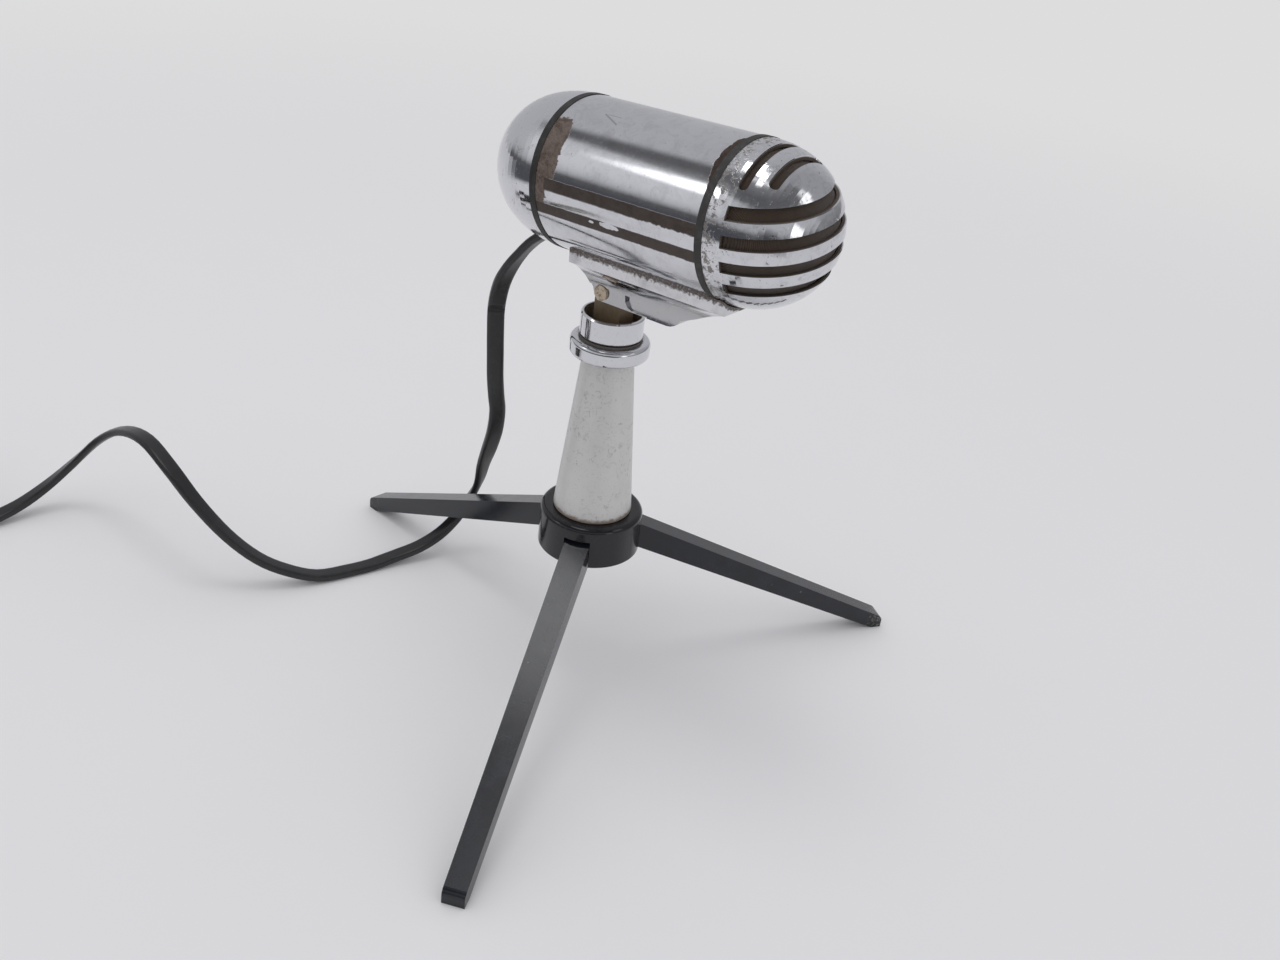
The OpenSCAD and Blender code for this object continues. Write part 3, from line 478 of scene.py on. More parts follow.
def chrome_dents(finish, depth, at=None):
    """The slight unevenness of a spun and plated shell, so deep for each millimetre across."""
    across = 7
    low = finish.noise(across, 2, 0.5, 0, at)
    fine = finish.noise(across / 10, 2, 0.6, 0, at)
    height = finish.plus(low, finish.times(fine, 0.10))
    return finish.bump(height, depth * across)


# Sleeve: chrome with two brown painted stripes, a bare brown patch at each end and an old scratch.
# The stripes' edges are in degrees round it from the near side upwards, the rest in millimetres
UPPER_LOW, UPPER_HIGH, UPPER_FROM = -0.8, 8.0, -10.8
LOWER_LOW, LOWER_HIGH = -19.2, -10.4
sleeve = Finish("sleeve_chrome", IOR=1.45)
vector = head_frame(sleeve)
x, y, z = sleeve.axes(vector)
angle = sleeve.times(sleeve.calc("ARCTAN2", z, sleeve.times(y, -1)), 180 / math.pi)
rag = sleeve.plus(sleeve.noise(1.4, 4, 0.65, 0, vector), sleeve.noise(4.5, 3, 0.6, 0, vector))
ragged = sleeve.minus(rag, 1.0)

# The upper stripe's lower edge gets more ragged towards the front
upper_low = sleeve.plus(UPPER_LOW, sleeve.times(ragged, sleeve.step(x, 4, 30, 0.5, 3.2)))
upper = sleeve.times(
    sleeve.step(sleeve.minus(angle, upper_low), -0.4, 0.4),
    sleeve.step(sleeve.plus(angle, ragged), UPPER_HIGH, UPPER_HIGH - 0.7),
    sleeve.step(x, UPPER_FROM, UPPER_FROM + 0.6),
)

# So does the lower stripe's, which is chipped in two places
lower_low = sleeve.plus(LOWER_LOW, sleeve.times(ragged, sleeve.step(x, 5, 30, 0.6, 2.2)))
chip = sleeve.calc(
    "MINIMUM",
    sleeve.near(x, 11.3, 3.1, angle, -12.9, 2.3),
    sleeve.near(x, 5.4, 0.8, angle, -13.6, 1.0),
)
lower = sleeve.times(
    sleeve.step(sleeve.minus(angle, lower_low), -0.4, 0.4),
    sleeve.step(sleeve.plus(angle, sleeve.times(ragged, 0.8)), LOWER_HIGH, LOWER_HIGH - 0.8),
    sleeve.step(sleeve.plus(chip, sleeve.times(ragged, 0.9)), 0.94, 1.04),
)

# The patch at the rear end is wider above the upper stripe; the one in front is an oval
patch_end = sleeve.plus(sleeve.step(angle, 6.5, 9.0, -10.2, -7.3), sleeve.times(ragged, 2.4))
patch_end = sleeve.minus(patch_end, sleeve.step(angle, 40, 56, 0, 1.6))
patch = sleeve.times(
    sleeve.step(sleeve.minus(x, patch_end), 0.12, -0.12),
    sleeve.step(sleeve.plus(angle, sleeve.times(ragged, 7)), 54.5, 53),
    sleeve.step(angle, -20, -18.5),
)
oval = sleeve.near(x, 39.0, 3.5, angle, 60, 30)
front_patch = sleeve.step(sleeve.plus(oval, sleeve.times(ragged, 0.30)), 1.02, 0.96)


def stroke(across, wide, wide_full, middle, half, half_full):
    """A straight scratch: full in its middle, and gone at its half width and half length."""
    from_middle = sleeve.calc("ABSOLUTE", sleeve.minus(x, middle))
    return sleeve.times(
        sleeve.step(sleeve.calc("ABSOLUTE", across), wide, wide_full),
        sleeve.step(from_middle, half, half_full),
    )


# The scratch is a slanting stroke and a fainter one along the sleeve
slant = sleeve.plus(sleeve.minus(angle, 66), sleeve.times(sleeve.plus(x, 1.8), 1.32))
faint = sleeve.times(stroke(sleeve.minus(angle, 66.2), 0.7, 0.2, 1.2, 2.6, 1.8), 0.7)
scratch = sleeve.times(sleeve.most(stroke(slant, 1.1, 0.3, 1, 3.1, 2.6), faint), 0.7)

paint = sleeve.most(upper, lower, patch, front_patch)
rough, cloud, _ = chrome_wear(sleeve, 0.07, vector)
smear = sleeve.step(sleeve.noise(3.4, 5, 0.72, 1.0, vector), 0.44, 0.70)
metal = sleeve.colour(sleeve.times(cloud, 0.5), CHROME, (0.60, 0.605, 0.635))
metal = sleeve.colour(sleeve.times(smear, 0.45), metal, (0.50, 0.495, 0.51))
spots = sleeve.step(sleeve.noise(0.55, 2, 0.6, 0, vector), 0.70, 0.76)
metal = sleeve.colour(sleeve.times(sleeve.most(spots, scratch), 0.65), metal, (0.16, 0.14, 0.13))
mottle = sleeve.plus(
    sleeve.times(sleeve.step(sleeve.noise(2.6, 4, 0.6, 0.8, vector), 0.34, 0.66), 0.6),
    sleeve.times(sleeve.step(sleeve.noise(0.5, 3, 0.7, 0.5, vector), 0.35, 0.68), 0.4),
)
brown = sleeve.colour(mottle, (0.060, 0.036, 0.026), (0.185, 0.145, 0.122))
stripe_brown = sleeve.colour(mottle, (0.040, 0.027, 0.021), (0.068, 0.050, 0.042))
dark = sleeve.colour(mottle, (0.022, 0.014, 0.010), (0.075, 0.042, 0.027))
brown = sleeve.colour(front_patch, brown, dark)
brown = sleeve.colour(sleeve.most(upper, lower), brown, stripe_brown)
dull = sleeve.blend(front_patch, sleeve.blend(mottle, 0.42, 0.62), 0.75)
sleeve.set(
    Base_Color=sleeve.colour(paint, metal, brown),
    Metallic=sleeve.minus(1, paint),
    Roughness=sleeve.blend(paint, rough, dull),
    Normal=sleeve.bump(paint, -0.03, 0.6, chrome_dents(sleeve, 0.0022, vector)),
)
dress(sleeve, "body_sleeve")

# Rear cap: chrome with hazy scuffs and a few dull stains
cap = Finish("rear_cap_chrome")
vector = head_frame(cap)
rough, _, _ = chrome_wear(cap, 0.16, vector)
stain = cap.step(cap.noise(5.5, 5, 0.7, 0.8, vector), 0.60, 0.74)
scuff = cap.step(cap.noise(1.1, 5, 0.75, 0.6, vector), 0.58, 0.66)
tint = cap.colour(cap.times(stain, 0.6), CHROME, (0.36, 0.35, 0.34))
tint = cap.colour(cap.times(scuff, 0.35), tint, (0.50, 0.49, 0.48))
cap.set(
    Base_Color=tint,
    Metallic=1.0,
    Roughness=cap.plus(rough, cap.times(stain, 0.22), cap.times(scuff, 0.10)),
    Normal=chrome_dents(cap, 0.003, vector),
)
dress(cap, "rear_cap")

# Grille cap: pitted plate outside, most by the ring, and painted dark brown shade on the slots' cut
# edges and inside
grille = Finish("grille_chrome")
vector = head_frame(grille)
x, y, z = grille.axes(vector)
out = grille.calc("POWER", grille.calc("DIVIDE", grille.length(y, z), HEAD_R), DOME_POWER)
ahead = grille.most(grille.calc("DIVIDE", grille.minus(x, FRONT_X), FRONT_L), 0)
skin = grille.plus(out, grille.calc("POWER", ahead, DOME_POWER))
inside = grille.step(skin, 0.985, 0.955)
by_ring = grille.step(x, 47.5, 39.5)
pit_cloud = grille.noise(1.5, 5, 0.72, 0.4, vector)
pit = grille.step(grille.plus(pit_cloud, grille.times(by_ring, 0.12)), 0.615, 0.68)
blotch = grille.step(grille.noise(3.2, 3, 0.6, 0.2, vector), 0.64, 0.70)
rough, _, _ = chrome_wear(grille, 0.10, vector)
tint = grille.colour(grille.times(blotch, 0.45), CHROME, (0.38, 0.37, 0.36))
smear = grille.step(grille.noise(2.6, 5, 0.72, 1.0, vector), 0.46, 0.68)
tint = grille.colour(grille.times(smear, 0.4), tint, (0.44, 0.44, 0.47))
tint = grille.colour(grille.times(pit, 0.85), tint, (0.15, 0.125, 0.105))
# Painted shade: the slots' cut edges and the cap's inside are made dark brown and dull
tint = grille.colour(inside, tint, SLOT_SHADE_BROWN)
grille.set(
    Base_Color=tint,
    Metallic=grille.times(grille.minus(1, inside), grille.minus(1, grille.times(pit, 0.6))),
    Roughness=grille.plus(rough, grille.times(pit, 0.35), grille.times(inside, 0.5)),
    Normal=grille.bump(grille.most(pit, blotch), -0.03, 0.3, chrome_dents(grille, 0.0045, vector)),
)
dress(grille, "grille_dome")


def rubber(name, shade, rough=0.6):
    """Old rubber: dull, with a fine grain and clouds of dust."""
    finish = Finish(name, Metallic=0.0)
    grain = finish.noise(0.35, 3, 0.65)
    dust = finish.step(finish.noise(3.5, 5, 0.7, 0.3), 0.48, 0.72)
    worn = tuple(min(1, v * 1.9 + 0.02) for v in shade)
    finish.set(
        Base_Color=finish.colour(finish.times(dust, 0.6), shade, worn),
        Roughness=finish.blend(grain, rough - 0.12, rough + 0.14),
        Normal=finish.bump(grain, 0.03, 0.7),
    )
    return finish


dress(rubber("rear_ring_rubber", (0.016, 0.015, 0.015), 0.5), "rear_gasket")
dress(rubber("front_ring_rubber", (0.038, 0.035, 0.033), 0.7), "front_gasket")
for name in ("lead_grommet", "capsule_cushion"):
    dress(rubber(name + "_rubber", (0.018, 0.018, 0.018)), name)
dress(rubber("boot_rubber_black", (0.024, 0.024, 0.025), 0.5), "plug_boot")

# Saddle: satin chrome casting, brown dirt where it meets the sleeve, and painted shade in the same
# brown on its front end face
saddle = Finish("saddle_cast_chrome")
vector = head_frame(saddle)
x, y, z = saddle.axes(vector)
rag = saddle.noise(1.1, 4, 0.7, 0.2, vector)
speckled = saddle.noise(0.5, 3, 0.7, 0, vector)
dirt_line_and_end_shade = saddle.step(saddle.minus(saddle.length(y, z), saddle.times(rag, 2.8)), 20.1, 19.5)
dirt_line_and_end_shade = saddle.times(dirt_line_and_end_shade, saddle.step(speckled, 0.30, 0.52, 0.45, 1.0))
# Painted shade: the front end face is darkened with the dirt's brown
end_face_shade = saddle.step(saddle.plus(x, saddle.times(rag, 0.6)), 43.55, 43.9)
dirt_line_and_end_shade = saddle.most(dirt_line_and_end_shade, saddle.times(end_face_shade, 0.75))
cheek = saddle.step(z, -23.5, -24.5)
rough, cloud, _ = chrome_wear(saddle, 0.11, vector)
grey = saddle.colour(cloud, (0.70, 0.70, 0.72), (0.54, 0.54, 0.55))
specks = saddle.step(saddle.noise(0.6, 3, 0.7, 0, vector), 0.64, 0.70)
grey = saddle.colour(cheek, grey, (0.50, 0.50, 0.51))
grey = saddle.colour(saddle.times(specks, 0.4), grey, (0.24, 0.21, 0.18))
saddle.set(
    Base_Color=saddle.colour(saddle.times(dirt_line_and_end_shade, 0.92), grey, (0.060, 0.036, 0.021)),
    Metallic=saddle.blend(dirt_line_and_end_shade, 1.0, 0.1),
    Roughness=saddle.plus(rough, 0.03, saddle.times(dirt_line_and_end_shade, 0.45), saddle.times(specks, 0.15)),
    Normal=chrome_dents(saddle, 0.004, vector),
)
dress(saddle, "saddle")

# Tilt pin: a tan end with dark specks
pin = Finish("pin_tan", Metallic=0.0)
specks = pin.step(pin.noise(0.7, 3, 0.7), 0.54, 0.62)
cloud = pin.noise(2.0, 3, 0.6)
tan = pin.colour(cloud, (0.58, 0.48, 0.37), (0.42, 0.33, 0.24))
pin.set(
    Base_Color=pin.colour(pin.times(specks, 0.75), tan, (0.07, 0.05, 0.035)),
    Roughness=pin.blend(cloud, 0.35, 0.6),
    Normal=pin.bump(specks, -0.05, 0.6),
)
dress(pin, "tilt_pin")


def stem_frame(finish):
    """Height over the table and distance from the stem's axis, in millimetres."""
    x, y, z = finish.axes(finish.mapped(STEM))
    return z, finish.length(x, y)


# Swivel cup: bright outside, brown with paler patches inside, and dirt at its foot
cup = Finish("cup_chrome")
z, radius = stem_frame(cup)
rag = cup.noise(1.3, 4, 0.7, 0.3)
within = cup.step(cup.plus(radius, cup.times(rag, 0.3)), 8.35, 8.0)
patches = cup.step(cup.noise(1.6, 4, 0.7, 0.3), 0.50, 0.66)
rough, _, fleck = chrome_wear(cup, 0.09)
foot = cup.step(cup.plus(z, cup.times(rag, 1.2)), 110.9, 110.2)
dirt = cup.most(within, cup.times(foot, 0.7))
soil = cup.colour(patches, (0.15, 0.105, 0.065), (0.26, 0.215, 0.145))
tint = cup.colour(cup.times(fleck, 0.3), CHROME, (0.40, 0.38, 0.35))
cup.set(
    Base_Color=cup.colour(dirt, tint, soil),
    Metallic=cup.blend(dirt, 1.0, 0.25),
    Roughness=cup.plus(rough, cup.times(dirt, 0.42)),
    Normal=cup.bump(cup.times(within, patches), 0.08, 0.8, chrome_dents(cup, 0.002)),
)
dress(cup, "swivel_cup")

# Collar: bright bead, dirt in the groove above it
collar = Finish("collar_chrome")
_, radius = stem_frame(collar)
rag = collar.noise(1.0, 4, 0.7, 0.3)
groove = collar.step(collar.minus(radius, collar.times(rag, 0.8)), 8.9, 8.3)
rough, _, fleck = chrome_wear(collar, 0.08)
tint = collar.colour(collar.times(fleck, 0.3), CHROME, (0.40, 0.38, 0.35))
collar.set(
    Base_Color=collar.colour(collar.times(groove, 0.85), tint, (0.100, 0.075, 0.055)),
    Metallic=collar.blend(groove, 1.0, 0.3),
    Roughness=collar.plus(rough, collar.times(groove, 0.4)),
    Normal=chrome_dents(collar, 0.002),
)
dress(collar, "collar_ring")

# Stem: satin metal with scuffs, dark specks and a brown line at its foot
stem = Finish("stem_satin")
z, _ = stem_frame(stem)
cloud = stem.noise(12, 4, 0.6, 0.3)
brushed = stem.noise(1.0, 4, 0.7, 0, stem.mapped(STEM, (0, 0, 0), (1, 1, 9)))
speck = stem.step(stem.noise(0.8, 3, 0.75, 0.2), 0.67, 0.72)
scuff = stem.step(stem.noise(1.6, 5, 0.8, 1.2), 0.60, 0.64)
rag = stem.noise(1.2, 4, 0.7)
foot = stem.step(stem.minus(z, stem.times(rag, 2.6)), 55.1, 54.1)
tint = stem.colour(cloud, (0.70, 0.695, 0.68), (0.60, 0.595, 0.58))
smudge = stem.step(stem.noise(1.9, 5, 0.75, 1.5), 0.52, 0.66)
blot = stem.times(smudge, stem.step(stem.noise(15, 2, 0.5, 0.4), 0.42, 0.60, 0.15, 1.0))
tint = stem.colour(stem.times(blot, 0.55), tint, (0.36, 0.35, 0.33))
marks = stem.times(stem.most(speck, stem.times(scuff, 0.45)), 0.75)
tint = stem.colour(marks, tint, (0.15, 0.13, 0.11))
tint = stem.colour(stem.times(foot, 0.8), tint, (0.16, 0.10, 0.055))
stem.set(
    Base_Color=tint,
    Metallic=stem.blend(foot, 0.45, 0.0),
    Roughness=stem.plus(0.36, stem.times(brushed, 0.10), stem.times(blot, 0.12)),
    Normal=stem.bump(stem.minus(brushed, stem.times(speck, 1.5)), 0.02, 0.5),
)
dress(stem, "stem_cone")

# Hub: gloss black moulding with a little dust
hub = Finish("hub_gloss_black", Metallic=0.0, IOR=1.5)
dust = hub.step(hub.noise(0.5, 2, 0.6), 0.66, 0.72)
cloud = hub.noise(6, 4, 0.65, 0.4)
hub.set(
    Base_Color=hub.colour(hub.times(dust, 0.35), (0.009, 0.009, 0.011), (0.12, 0.11, 0.10)),
    Roughness=hub.plus(hub.step(cloud, 0.4, 0.7, 0.07, 0.16), hub.times(dust, 0.2)),
    Normal=hub.bump(cloud, 0.02, 0.4),
)
dress(hub, "hub")


def leg_finish(name, rubbed_at, worn):
    """Black paint on a leg with small nicks and scratches, rubbed through round one place."""
    reach = 0.014
    finish = Finish(name, IOR=1.5)
    x, y, _ = finish.axes(finish.place)
    cloud = finish.noise(7, 4, 0.65, 0.4)
    grain = finish.noise(0.5, 3, 0.6)
    scratch = finish.step(finish.noise(0.9, 4, 0.8, 2.0), 0.645, 0.66)
    from_it = finish.near(x, rubbed_at[0], reach, y, rubbed_at[1], reach)
    by_it = finish.step(from_it, 1.0, 0.15)
    rub = finish.plus(finish.noise(1.6, 5, 0.75, 0.5), finish.times(by_it, worn))
    rub = finish.times(finish.step(rub, 0.60, 0.68), by_it)
    nick = finish.step(finish.noise(1.3, 3, 0.7, 0.3), 0.715, 0.735)
    bare = finish.most(rub, nick)
    black = finish.step(cloud, 0.4, 0.7)
    tint = finish.colour(black, (0.009, 0.010, 0.014), (0.014, 0.016, 0.022))
    tint = finish.colour(finish.times(scratch, 0.30), tint, (0.12, 0.12, 0.12))
    rough = finish.step(cloud, 0.30, 0.75, 0.145, 0.185)
    finish.set(
        Base_Color=finish.colour(finish.times(bare, 0.75), tint, (0.26, 0.24, 0.21)),
        Metallic=finish.times(bare, 0.5),
        Roughness=finish.plus(rough, finish.times(grain, 0.06)),
        Normal=finish.bump(finish.minus(grain, bare), 0.02, 0.5),
    )
    return finish


# The rub is round one corner of each leg's box. That is at the toe of the right and back legs. The
# front leg doesn't reach its corner, so it has no rub
for name, worn in (("leg_front", 0.30), ("leg_right", 0.12), ("leg_back", 0.06)):
    low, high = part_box(name)
    rubbed_at = high if name == "leg_right" else low
    dress(leg_finish(name + "_paint", rubbed_at, worn), name)


def metal_finish(name, tint, rough, stain, amount=0.5, size=2.5):
    """Plain working metal with cloudy tarnish and a fine machined grain."""
    finish = Finish(name, Metallic=1.0)
    cloud = finish.step(finish.noise(size, 5, 0.7, 0.4), 0.45, 0.72)
    grain = finish.noise(0.3, 3, 0.7)
    finish.set(
        Base_Color=finish.colour(finish.times(cloud, amount), tint, stain),
        Roughness=finish.plus(rough, finish.times(cloud, 0.15), finish.times(grain, 0.08)),
        Normal=finish.bump(grain, 0.01, 0.4),
    )
    return finish


def plain_finish(name, tint, other, rough, size=1.5, ratio=(1, 1, 1)):
    """A dull material with the grain of paper, board or moulding."""
    finish = Finish(name, Metallic=0.0)
    grain = finish.noise(size, 5, 0.7, 0.2, finish.mapped(STEM, (0, 0, 0), ratio))
    fine = finish.noise(0.3, 3, 0.6)
    finish.set(
        Base_Color=finish.colour(grain, tint, other),
        Roughness=finish.blend(fine, rough - 0.08, rough + 0.1),
        Normal=finish.bump(finish.plus(grain, fine), 0.02, 0.5),
    )
    return finish


dress(
    plain_finish("old_brass_dull", (0.21, 0.155, 0.095), (0.095, 0.066, 0.040), 0.45, 1.6),
    "tilt_lug", "swivel_nut",
)
dress(
    metal_finish("plated_steel_grey", (0.60, 0.60, 0.60), 0.28, (0.30, 0.27, 0.22)),
    "saddle_screws", "hub_screw", "leg_pins", "spring_washer",
    "stem_bush", "chassis_plate", "transformer_bracket", "lead_clamp",
)
dress(
    metal_finish("spun_aluminium", (0.72, 0.72, 0.71), 0.32, (0.45, 0.44, 0.42), 0.4),
    "capsule_case", "capsule_ring", "diaphragm",
)
dress(
    metal_finish("soft_iron_grey", (0.30, 0.295, 0.29), 0.42, (0.17, 0.11, 0.07)),
    "pole_piece", "top_plate", "transformer_core",
)
dress(metal_finish("magnet_grey", (0.26, 0.26, 0.27), 0.5, (0.16, 0.14, 0.12)), "capsule_magnet")
dress(metal_finish("coil_copper", (0.70, 0.32, 0.17), 0.3, (0.38, 0.15, 0.08)), "voice_coil")
dress(
    metal_finish("tinned_brass_pale", (0.68, 0.64, 0.54), 0.24, (0.42, 0.34, 0.22)),
    "solder_tags", "plug_pins",
)
dress(
    metal_finish("shell_nickel", (0.60, 0.585, 0.55), 0.20, (0.40, 0.37, 0.32), size=3.0),
    "plug_shell",
)
dress(
    plain_finish("insert_black", (0.020, 0.019, 0.019), (0.035, 0.033, 0.032), 0.42),
    "plug_insert",
)
dress(
    plain_finish("board_brown", (0.20, 0.10, 0.045), (0.30, 0.165, 0.08), 0.5, 0.8, (6, 1, 1)),
    "terminal_board",
)
dress(
    plain_finish("winding_paper_tan", (0.50, 0.38, 0.20), (0.62, 0.50, 0.30), 0.6, 0.7, (1, 5, 1)),
    "transformer_winding",
)
dress(
    plain_finish("wire_red_cotton", (0.34, 0.035, 0.025), (0.48, 0.07, 0.05), 0.6, 0.5),
    "inner_wires",
)


def lead_finish():
    """Black moulded lead: soft sheen, fine lengthways drag marks and a little dust."""
    finish = Finish("lead_black_moulded", Metallic=0.0)
    along = finish.add("ShaderNodeUVMap", uv_map="along").outputs[0]
    stretch = finish.add("ShaderNodeMapping", vector_type="POINT")
    finish.plug((140.0, 40.0, 1.0), stretch.inputs["Scale"])
    finish.plug(along, stretch.inputs["Vector"])
    drag = finish.noise(1.0, 4.0, 0.5, 0.0, stretch.outputs[0])
    dust = finish.step(finish.noise(2.2, 5, 0.75, 0.3), 0.50, 0.74)
    dust_tint = (0.042, 0.041, 0.040)
    finish.set(
        Base_Color=finish.colour(finish.times(dust, 0.5), (0.016, 0.016, 0.017), dust_tint),
        Roughness=finish.plus(0.26, finish.times(drag, 0.14), finish.times(dust, 0.10)),
        Normal=finish.bump(drag, 0.03, 0.5),
    )
    return finish


black_lead = lead_finish()
for piece in (lead_upper, lead_main):
    piece.data.materials.append(black_lead.material)
dress(
    plain_finish("stub_black", (0.016, 0.016, 0.017), (0.035, 0.034, 0.034), 0.42),
    "lead_stub",
)

# ---------------------------------------------------------------- grille cloth
# In millimetres: the cloth's radius, how deep its dome is, its thickness, where it starts along the
# head, how far it stands in from that dome, and the size of its threads
CLOTH_R, CLOTH_L, CLOTH_T = 18.95, 21.2, 0.4
CLOTH_FROM = 43.0
SIDE_GAP, NOSE_GAP = 0.15, 0.1
THREAD = 0.42


def thicken(piece, wall):
    """Give a skin a wall so many millimetres thick, on its inside."""
    made = piece.modifiers.new("wall", "SOLIDIFY")
    made.thickness = wall / 1000
    made.offset = -1
    bpy.ops.object.modifier_apply(modifier="wall")


def cloth_dome():
    """The brown cloth behind the slots, pressed to the cap's inside, and its area."""
    bm = bmesh.new()
    rows, around = 26, 96
    start = math.asin(((CLOTH_FROM - FRONT_X) / CLOTH_L) ** (DOME_POWER / 2))
    loops = []
    for i in range(rows):
        t = start + (math.pi / 2 - start) * i / rows
        r = CLOTH_R * math.cos(t) ** (2 / DOME_POWER)
        h = FRONT_X + CLOTH_L * math.sin(t) ** (2 / DOME_POWER)
        loop = []
        for k in range(around):
            a = 2 * math.pi * k / around
            pucker = 0.06 * math.sin(11 * a + 2.0 * i / rows) * math.cos(t)
            pucker += 0.05 * math.sin(5 * a - 1.3)
            out = r - SIDE_GAP + pucker
            place = head_place(h - NOSE_GAP, out * math.cos(a), out * math.sin(a))
            loop.append(bm.verts.new(place))
        loops.append(loop)
    join_loops(bm, loops)
    tip = bm.verts.new(head_place(FRONT_X + CLOTH_L - NOSE_GAP, 0, 0))
    for k in range(around):
        bm.faces.new((loops[-1][k], loops[-1][(k + 1) % around], tip)).smooth = True
    bmesh.ops.recalc_face_normals(bm, faces=bm.faces)
    middle = head_place(FRONT_X, 0, 0).x
    outward = sum(f.normal.x * (f.calc_center_median().x - middle) for f in bm.faces)
    if outward < 0:
        bmesh.ops.reverse_faces(bm, faces=bm.faces)
    area = sum(f.calc_area() for f in bm.faces)
    piece = piece_from(bm, "grille_cloth_skin")
    bpy.context.view_layer.objects.active = piece
    piece.select_set(True)
    thicken(piece, CLOTH_T)
    piece.select_set(False)
    return piece, area


cloth_skin, cloth_area = cloth_dome()
cloth = Finish("grille_cloth_weave", Metallic=0.0, Sheen_Weight=0.25, Sheen_Roughness=0.5)
vector = head_frame(cloth)
_, across, tall = cloth.axes(vector)
over = cloth.times(cloth.ridges(across, THREAD), cloth.ridges(tall, THREAD))
slub = cloth.noise(0.6, 3, 0.6, 0, vector)
grime = cloth.step(cloth.noise(4.0, 4, 0.65, 0.3, vector), 0.40, 0.70)
yarn = cloth.colour(slub, (0.085, 0.050, 0.028), (0.155, 0.100, 0.060))
tint = cloth.colour(over, (0.022, 0.014, 0.009), yarn)
cloth.set(
    Base_Color=cloth.colour(cloth.times(grime, 0.6), tint, (0.040, 0.026, 0.017)),
    Roughness=cloth.blend(slub, 0.75, 0.95),
    Normal=cloth.bump(over, 0.12, 0.8),
)
cloth_skin.data.materials.append(cloth.material)

# ---------------------------------------------------------------- strap round the coil
# Where it crosses the coil, and in millimetres its inner and outer ends from the coil's middle, its
# lower and upper sides, its width and thickness, its corners, the softening of its edges, and the
# pitch of the weave across it and along it
STRAP_AT = math.radians(195)
STRAP_IN, STRAP_OUT, STRAP_LOW, STRAP_HIGH = 21.3, 37.9, 0.4, 12.8
STRAP_W, STRAP_T = 6.0, 0.6
STRAP_CORNER, STRAP_EDGE = 2.2, 0.15
RIB_PITCH, PICK_PITCH = 1.2, 0.9


def coil_strap():
    """A woven strap, one closed band round the coil."""
    middle = (STRAP_IN + STRAP_OUT) / 2
    place = on_stem(
        COIL_X + middle * math.cos(STRAP_AT),
        COIL_Y + middle * math.sin(STRAP_AT),
        (STRAP_LOW + STRAP_HIGH) / 2,
    )
    bpy.ops.mesh.primitive_cube_add(size=1, location=place, rotation=(0, 0, STRAP_AT))
    piece = bpy.context.object
    piece.name = piece.data.name = "coil_strap"
    piece.scale = ((STRAP_OUT - STRAP_IN) / 1000, STRAP_W / 1000, (STRAP_HIGH - STRAP_LOW) / 1000)
    bpy.ops.object.transform_apply(location=False, rotation=False, scale=True)

    # The band is the box without its two open sides
    bm = bmesh.new()
    bm.from_mesh(piece.data)
    open_sides = [f for f in bm.faces if abs(f.normal.y) > 0.9]
    bmesh.ops.delete(bm, geom=open_sides, context="FACES_ONLY")
    corners = [e for e in bm.edges if abs(e.verts[0].co.y - e.verts[1].co.y) > 0.001]
    bmesh.ops.bevel(
        bm, geom=corners, offset=STRAP_CORNER / 1000, segments=5, profile=0.5, affect="EDGES"
    )
    bm.to_mesh(piece.data)
    bm.free()

    thicken(piece, STRAP_T)
    edge = piece.modifiers.new("edge", "BEVEL")
    edge.width = STRAP_EDGE / 1000
    edge.segments = 2
    bpy.ops.object.modifier_apply(modifier="edge")
    bpy.ops.object.transform_apply(location=True, rotation=True, scale=True)
    bpy.ops.object.shade_smooth_by_angle(angle=math.radians(40))
    piece.select_set(False)
    return piece


strap = coil_strap()
strap_finish = Finish("strap_woven_grey", Metallic=0.0)
vector = strap_finish.mapped(on_stem(COIL_X, COIL_Y, 0), (0, 0, STRAP_AT))
x, y, z = strap_finish.axes(vector)
ribs = strap_finish.ridges(y, RIB_PITCH)
picks = strap_finish.ridges(strap_finish.plus(x, z), PICK_PITCH)
woven = strap_finish.times(ribs, picks)
strap_finish.set(
    Base_Color=strap_finish.colour(woven, (0.030, 0.030, 0.032), (0.085, 0.085, 0.090)),
    Roughness=strap_finish.blend(woven, 0.85, 0.65),
    Normal=strap_finish.bump(woven, 0.15, 0.8),
)
strap.data.materials.append(strap_finish.material)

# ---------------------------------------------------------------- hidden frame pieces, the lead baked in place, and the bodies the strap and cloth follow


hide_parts("lead_drop")
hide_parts("lead_floor", "lead_coil")
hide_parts("coil_tie")
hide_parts("grille_cloth")
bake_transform(lead_upper)
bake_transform(lead_main)
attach(strap, "stand")
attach(cloth_skin, "head")

# ---------------------------------------------------------------- floor, light and background
PALE = (0.860, 0.854, 0.853)
FAR_PALE = (0.725, 0.723, 0.730)
DIM = (0.085, 0.088, 0.10)
# In metres: the paper's radius, where it starts to turn into the background and where it has, and
# where the table ends in the chrome's reflections
PAPER_R = 6
FADES_FROM, FADES_TO = 0.22, 1.1
ENDS_FROM, ENDS_TO = 0.42, 0.58
bpy.ops.mesh.primitive_circle_add(
    vertices=96, radius=PAPER_R, fill_type="NGON", location=(0, 0, 0)
)
floor = bpy.context.object
floor.name = "floor"
floor.select_set(False)
paper = Finish("paper_pale", Metallic=0.0)
paper.set(
    Base_Color=paper.colour(paper.noise(60, 3, 0.5), PALE, tuple(v * 0.985 for v in PALE)),
    Roughness=0.9,
)
x, y, _ = paper.axes(paper.place)
away = paper.length(x, y)
ray = paper.add("ShaderNodeLightPath").outputs
far = paper.times(ray["Is Camera Ray"], paper.step(away, FADES_FROM, FADES_TO))
on_near_side = paper.step(paper.calc("DIVIDE", y, away), -0.15, -0.55)
table_end = paper.times(paper.step(away, ENDS_FROM, ENDS_TO), on_near_side)
table_end = paper.times(ray["Is Glossy Ray"], table_end)
seen = paper.shader.outputs[0]
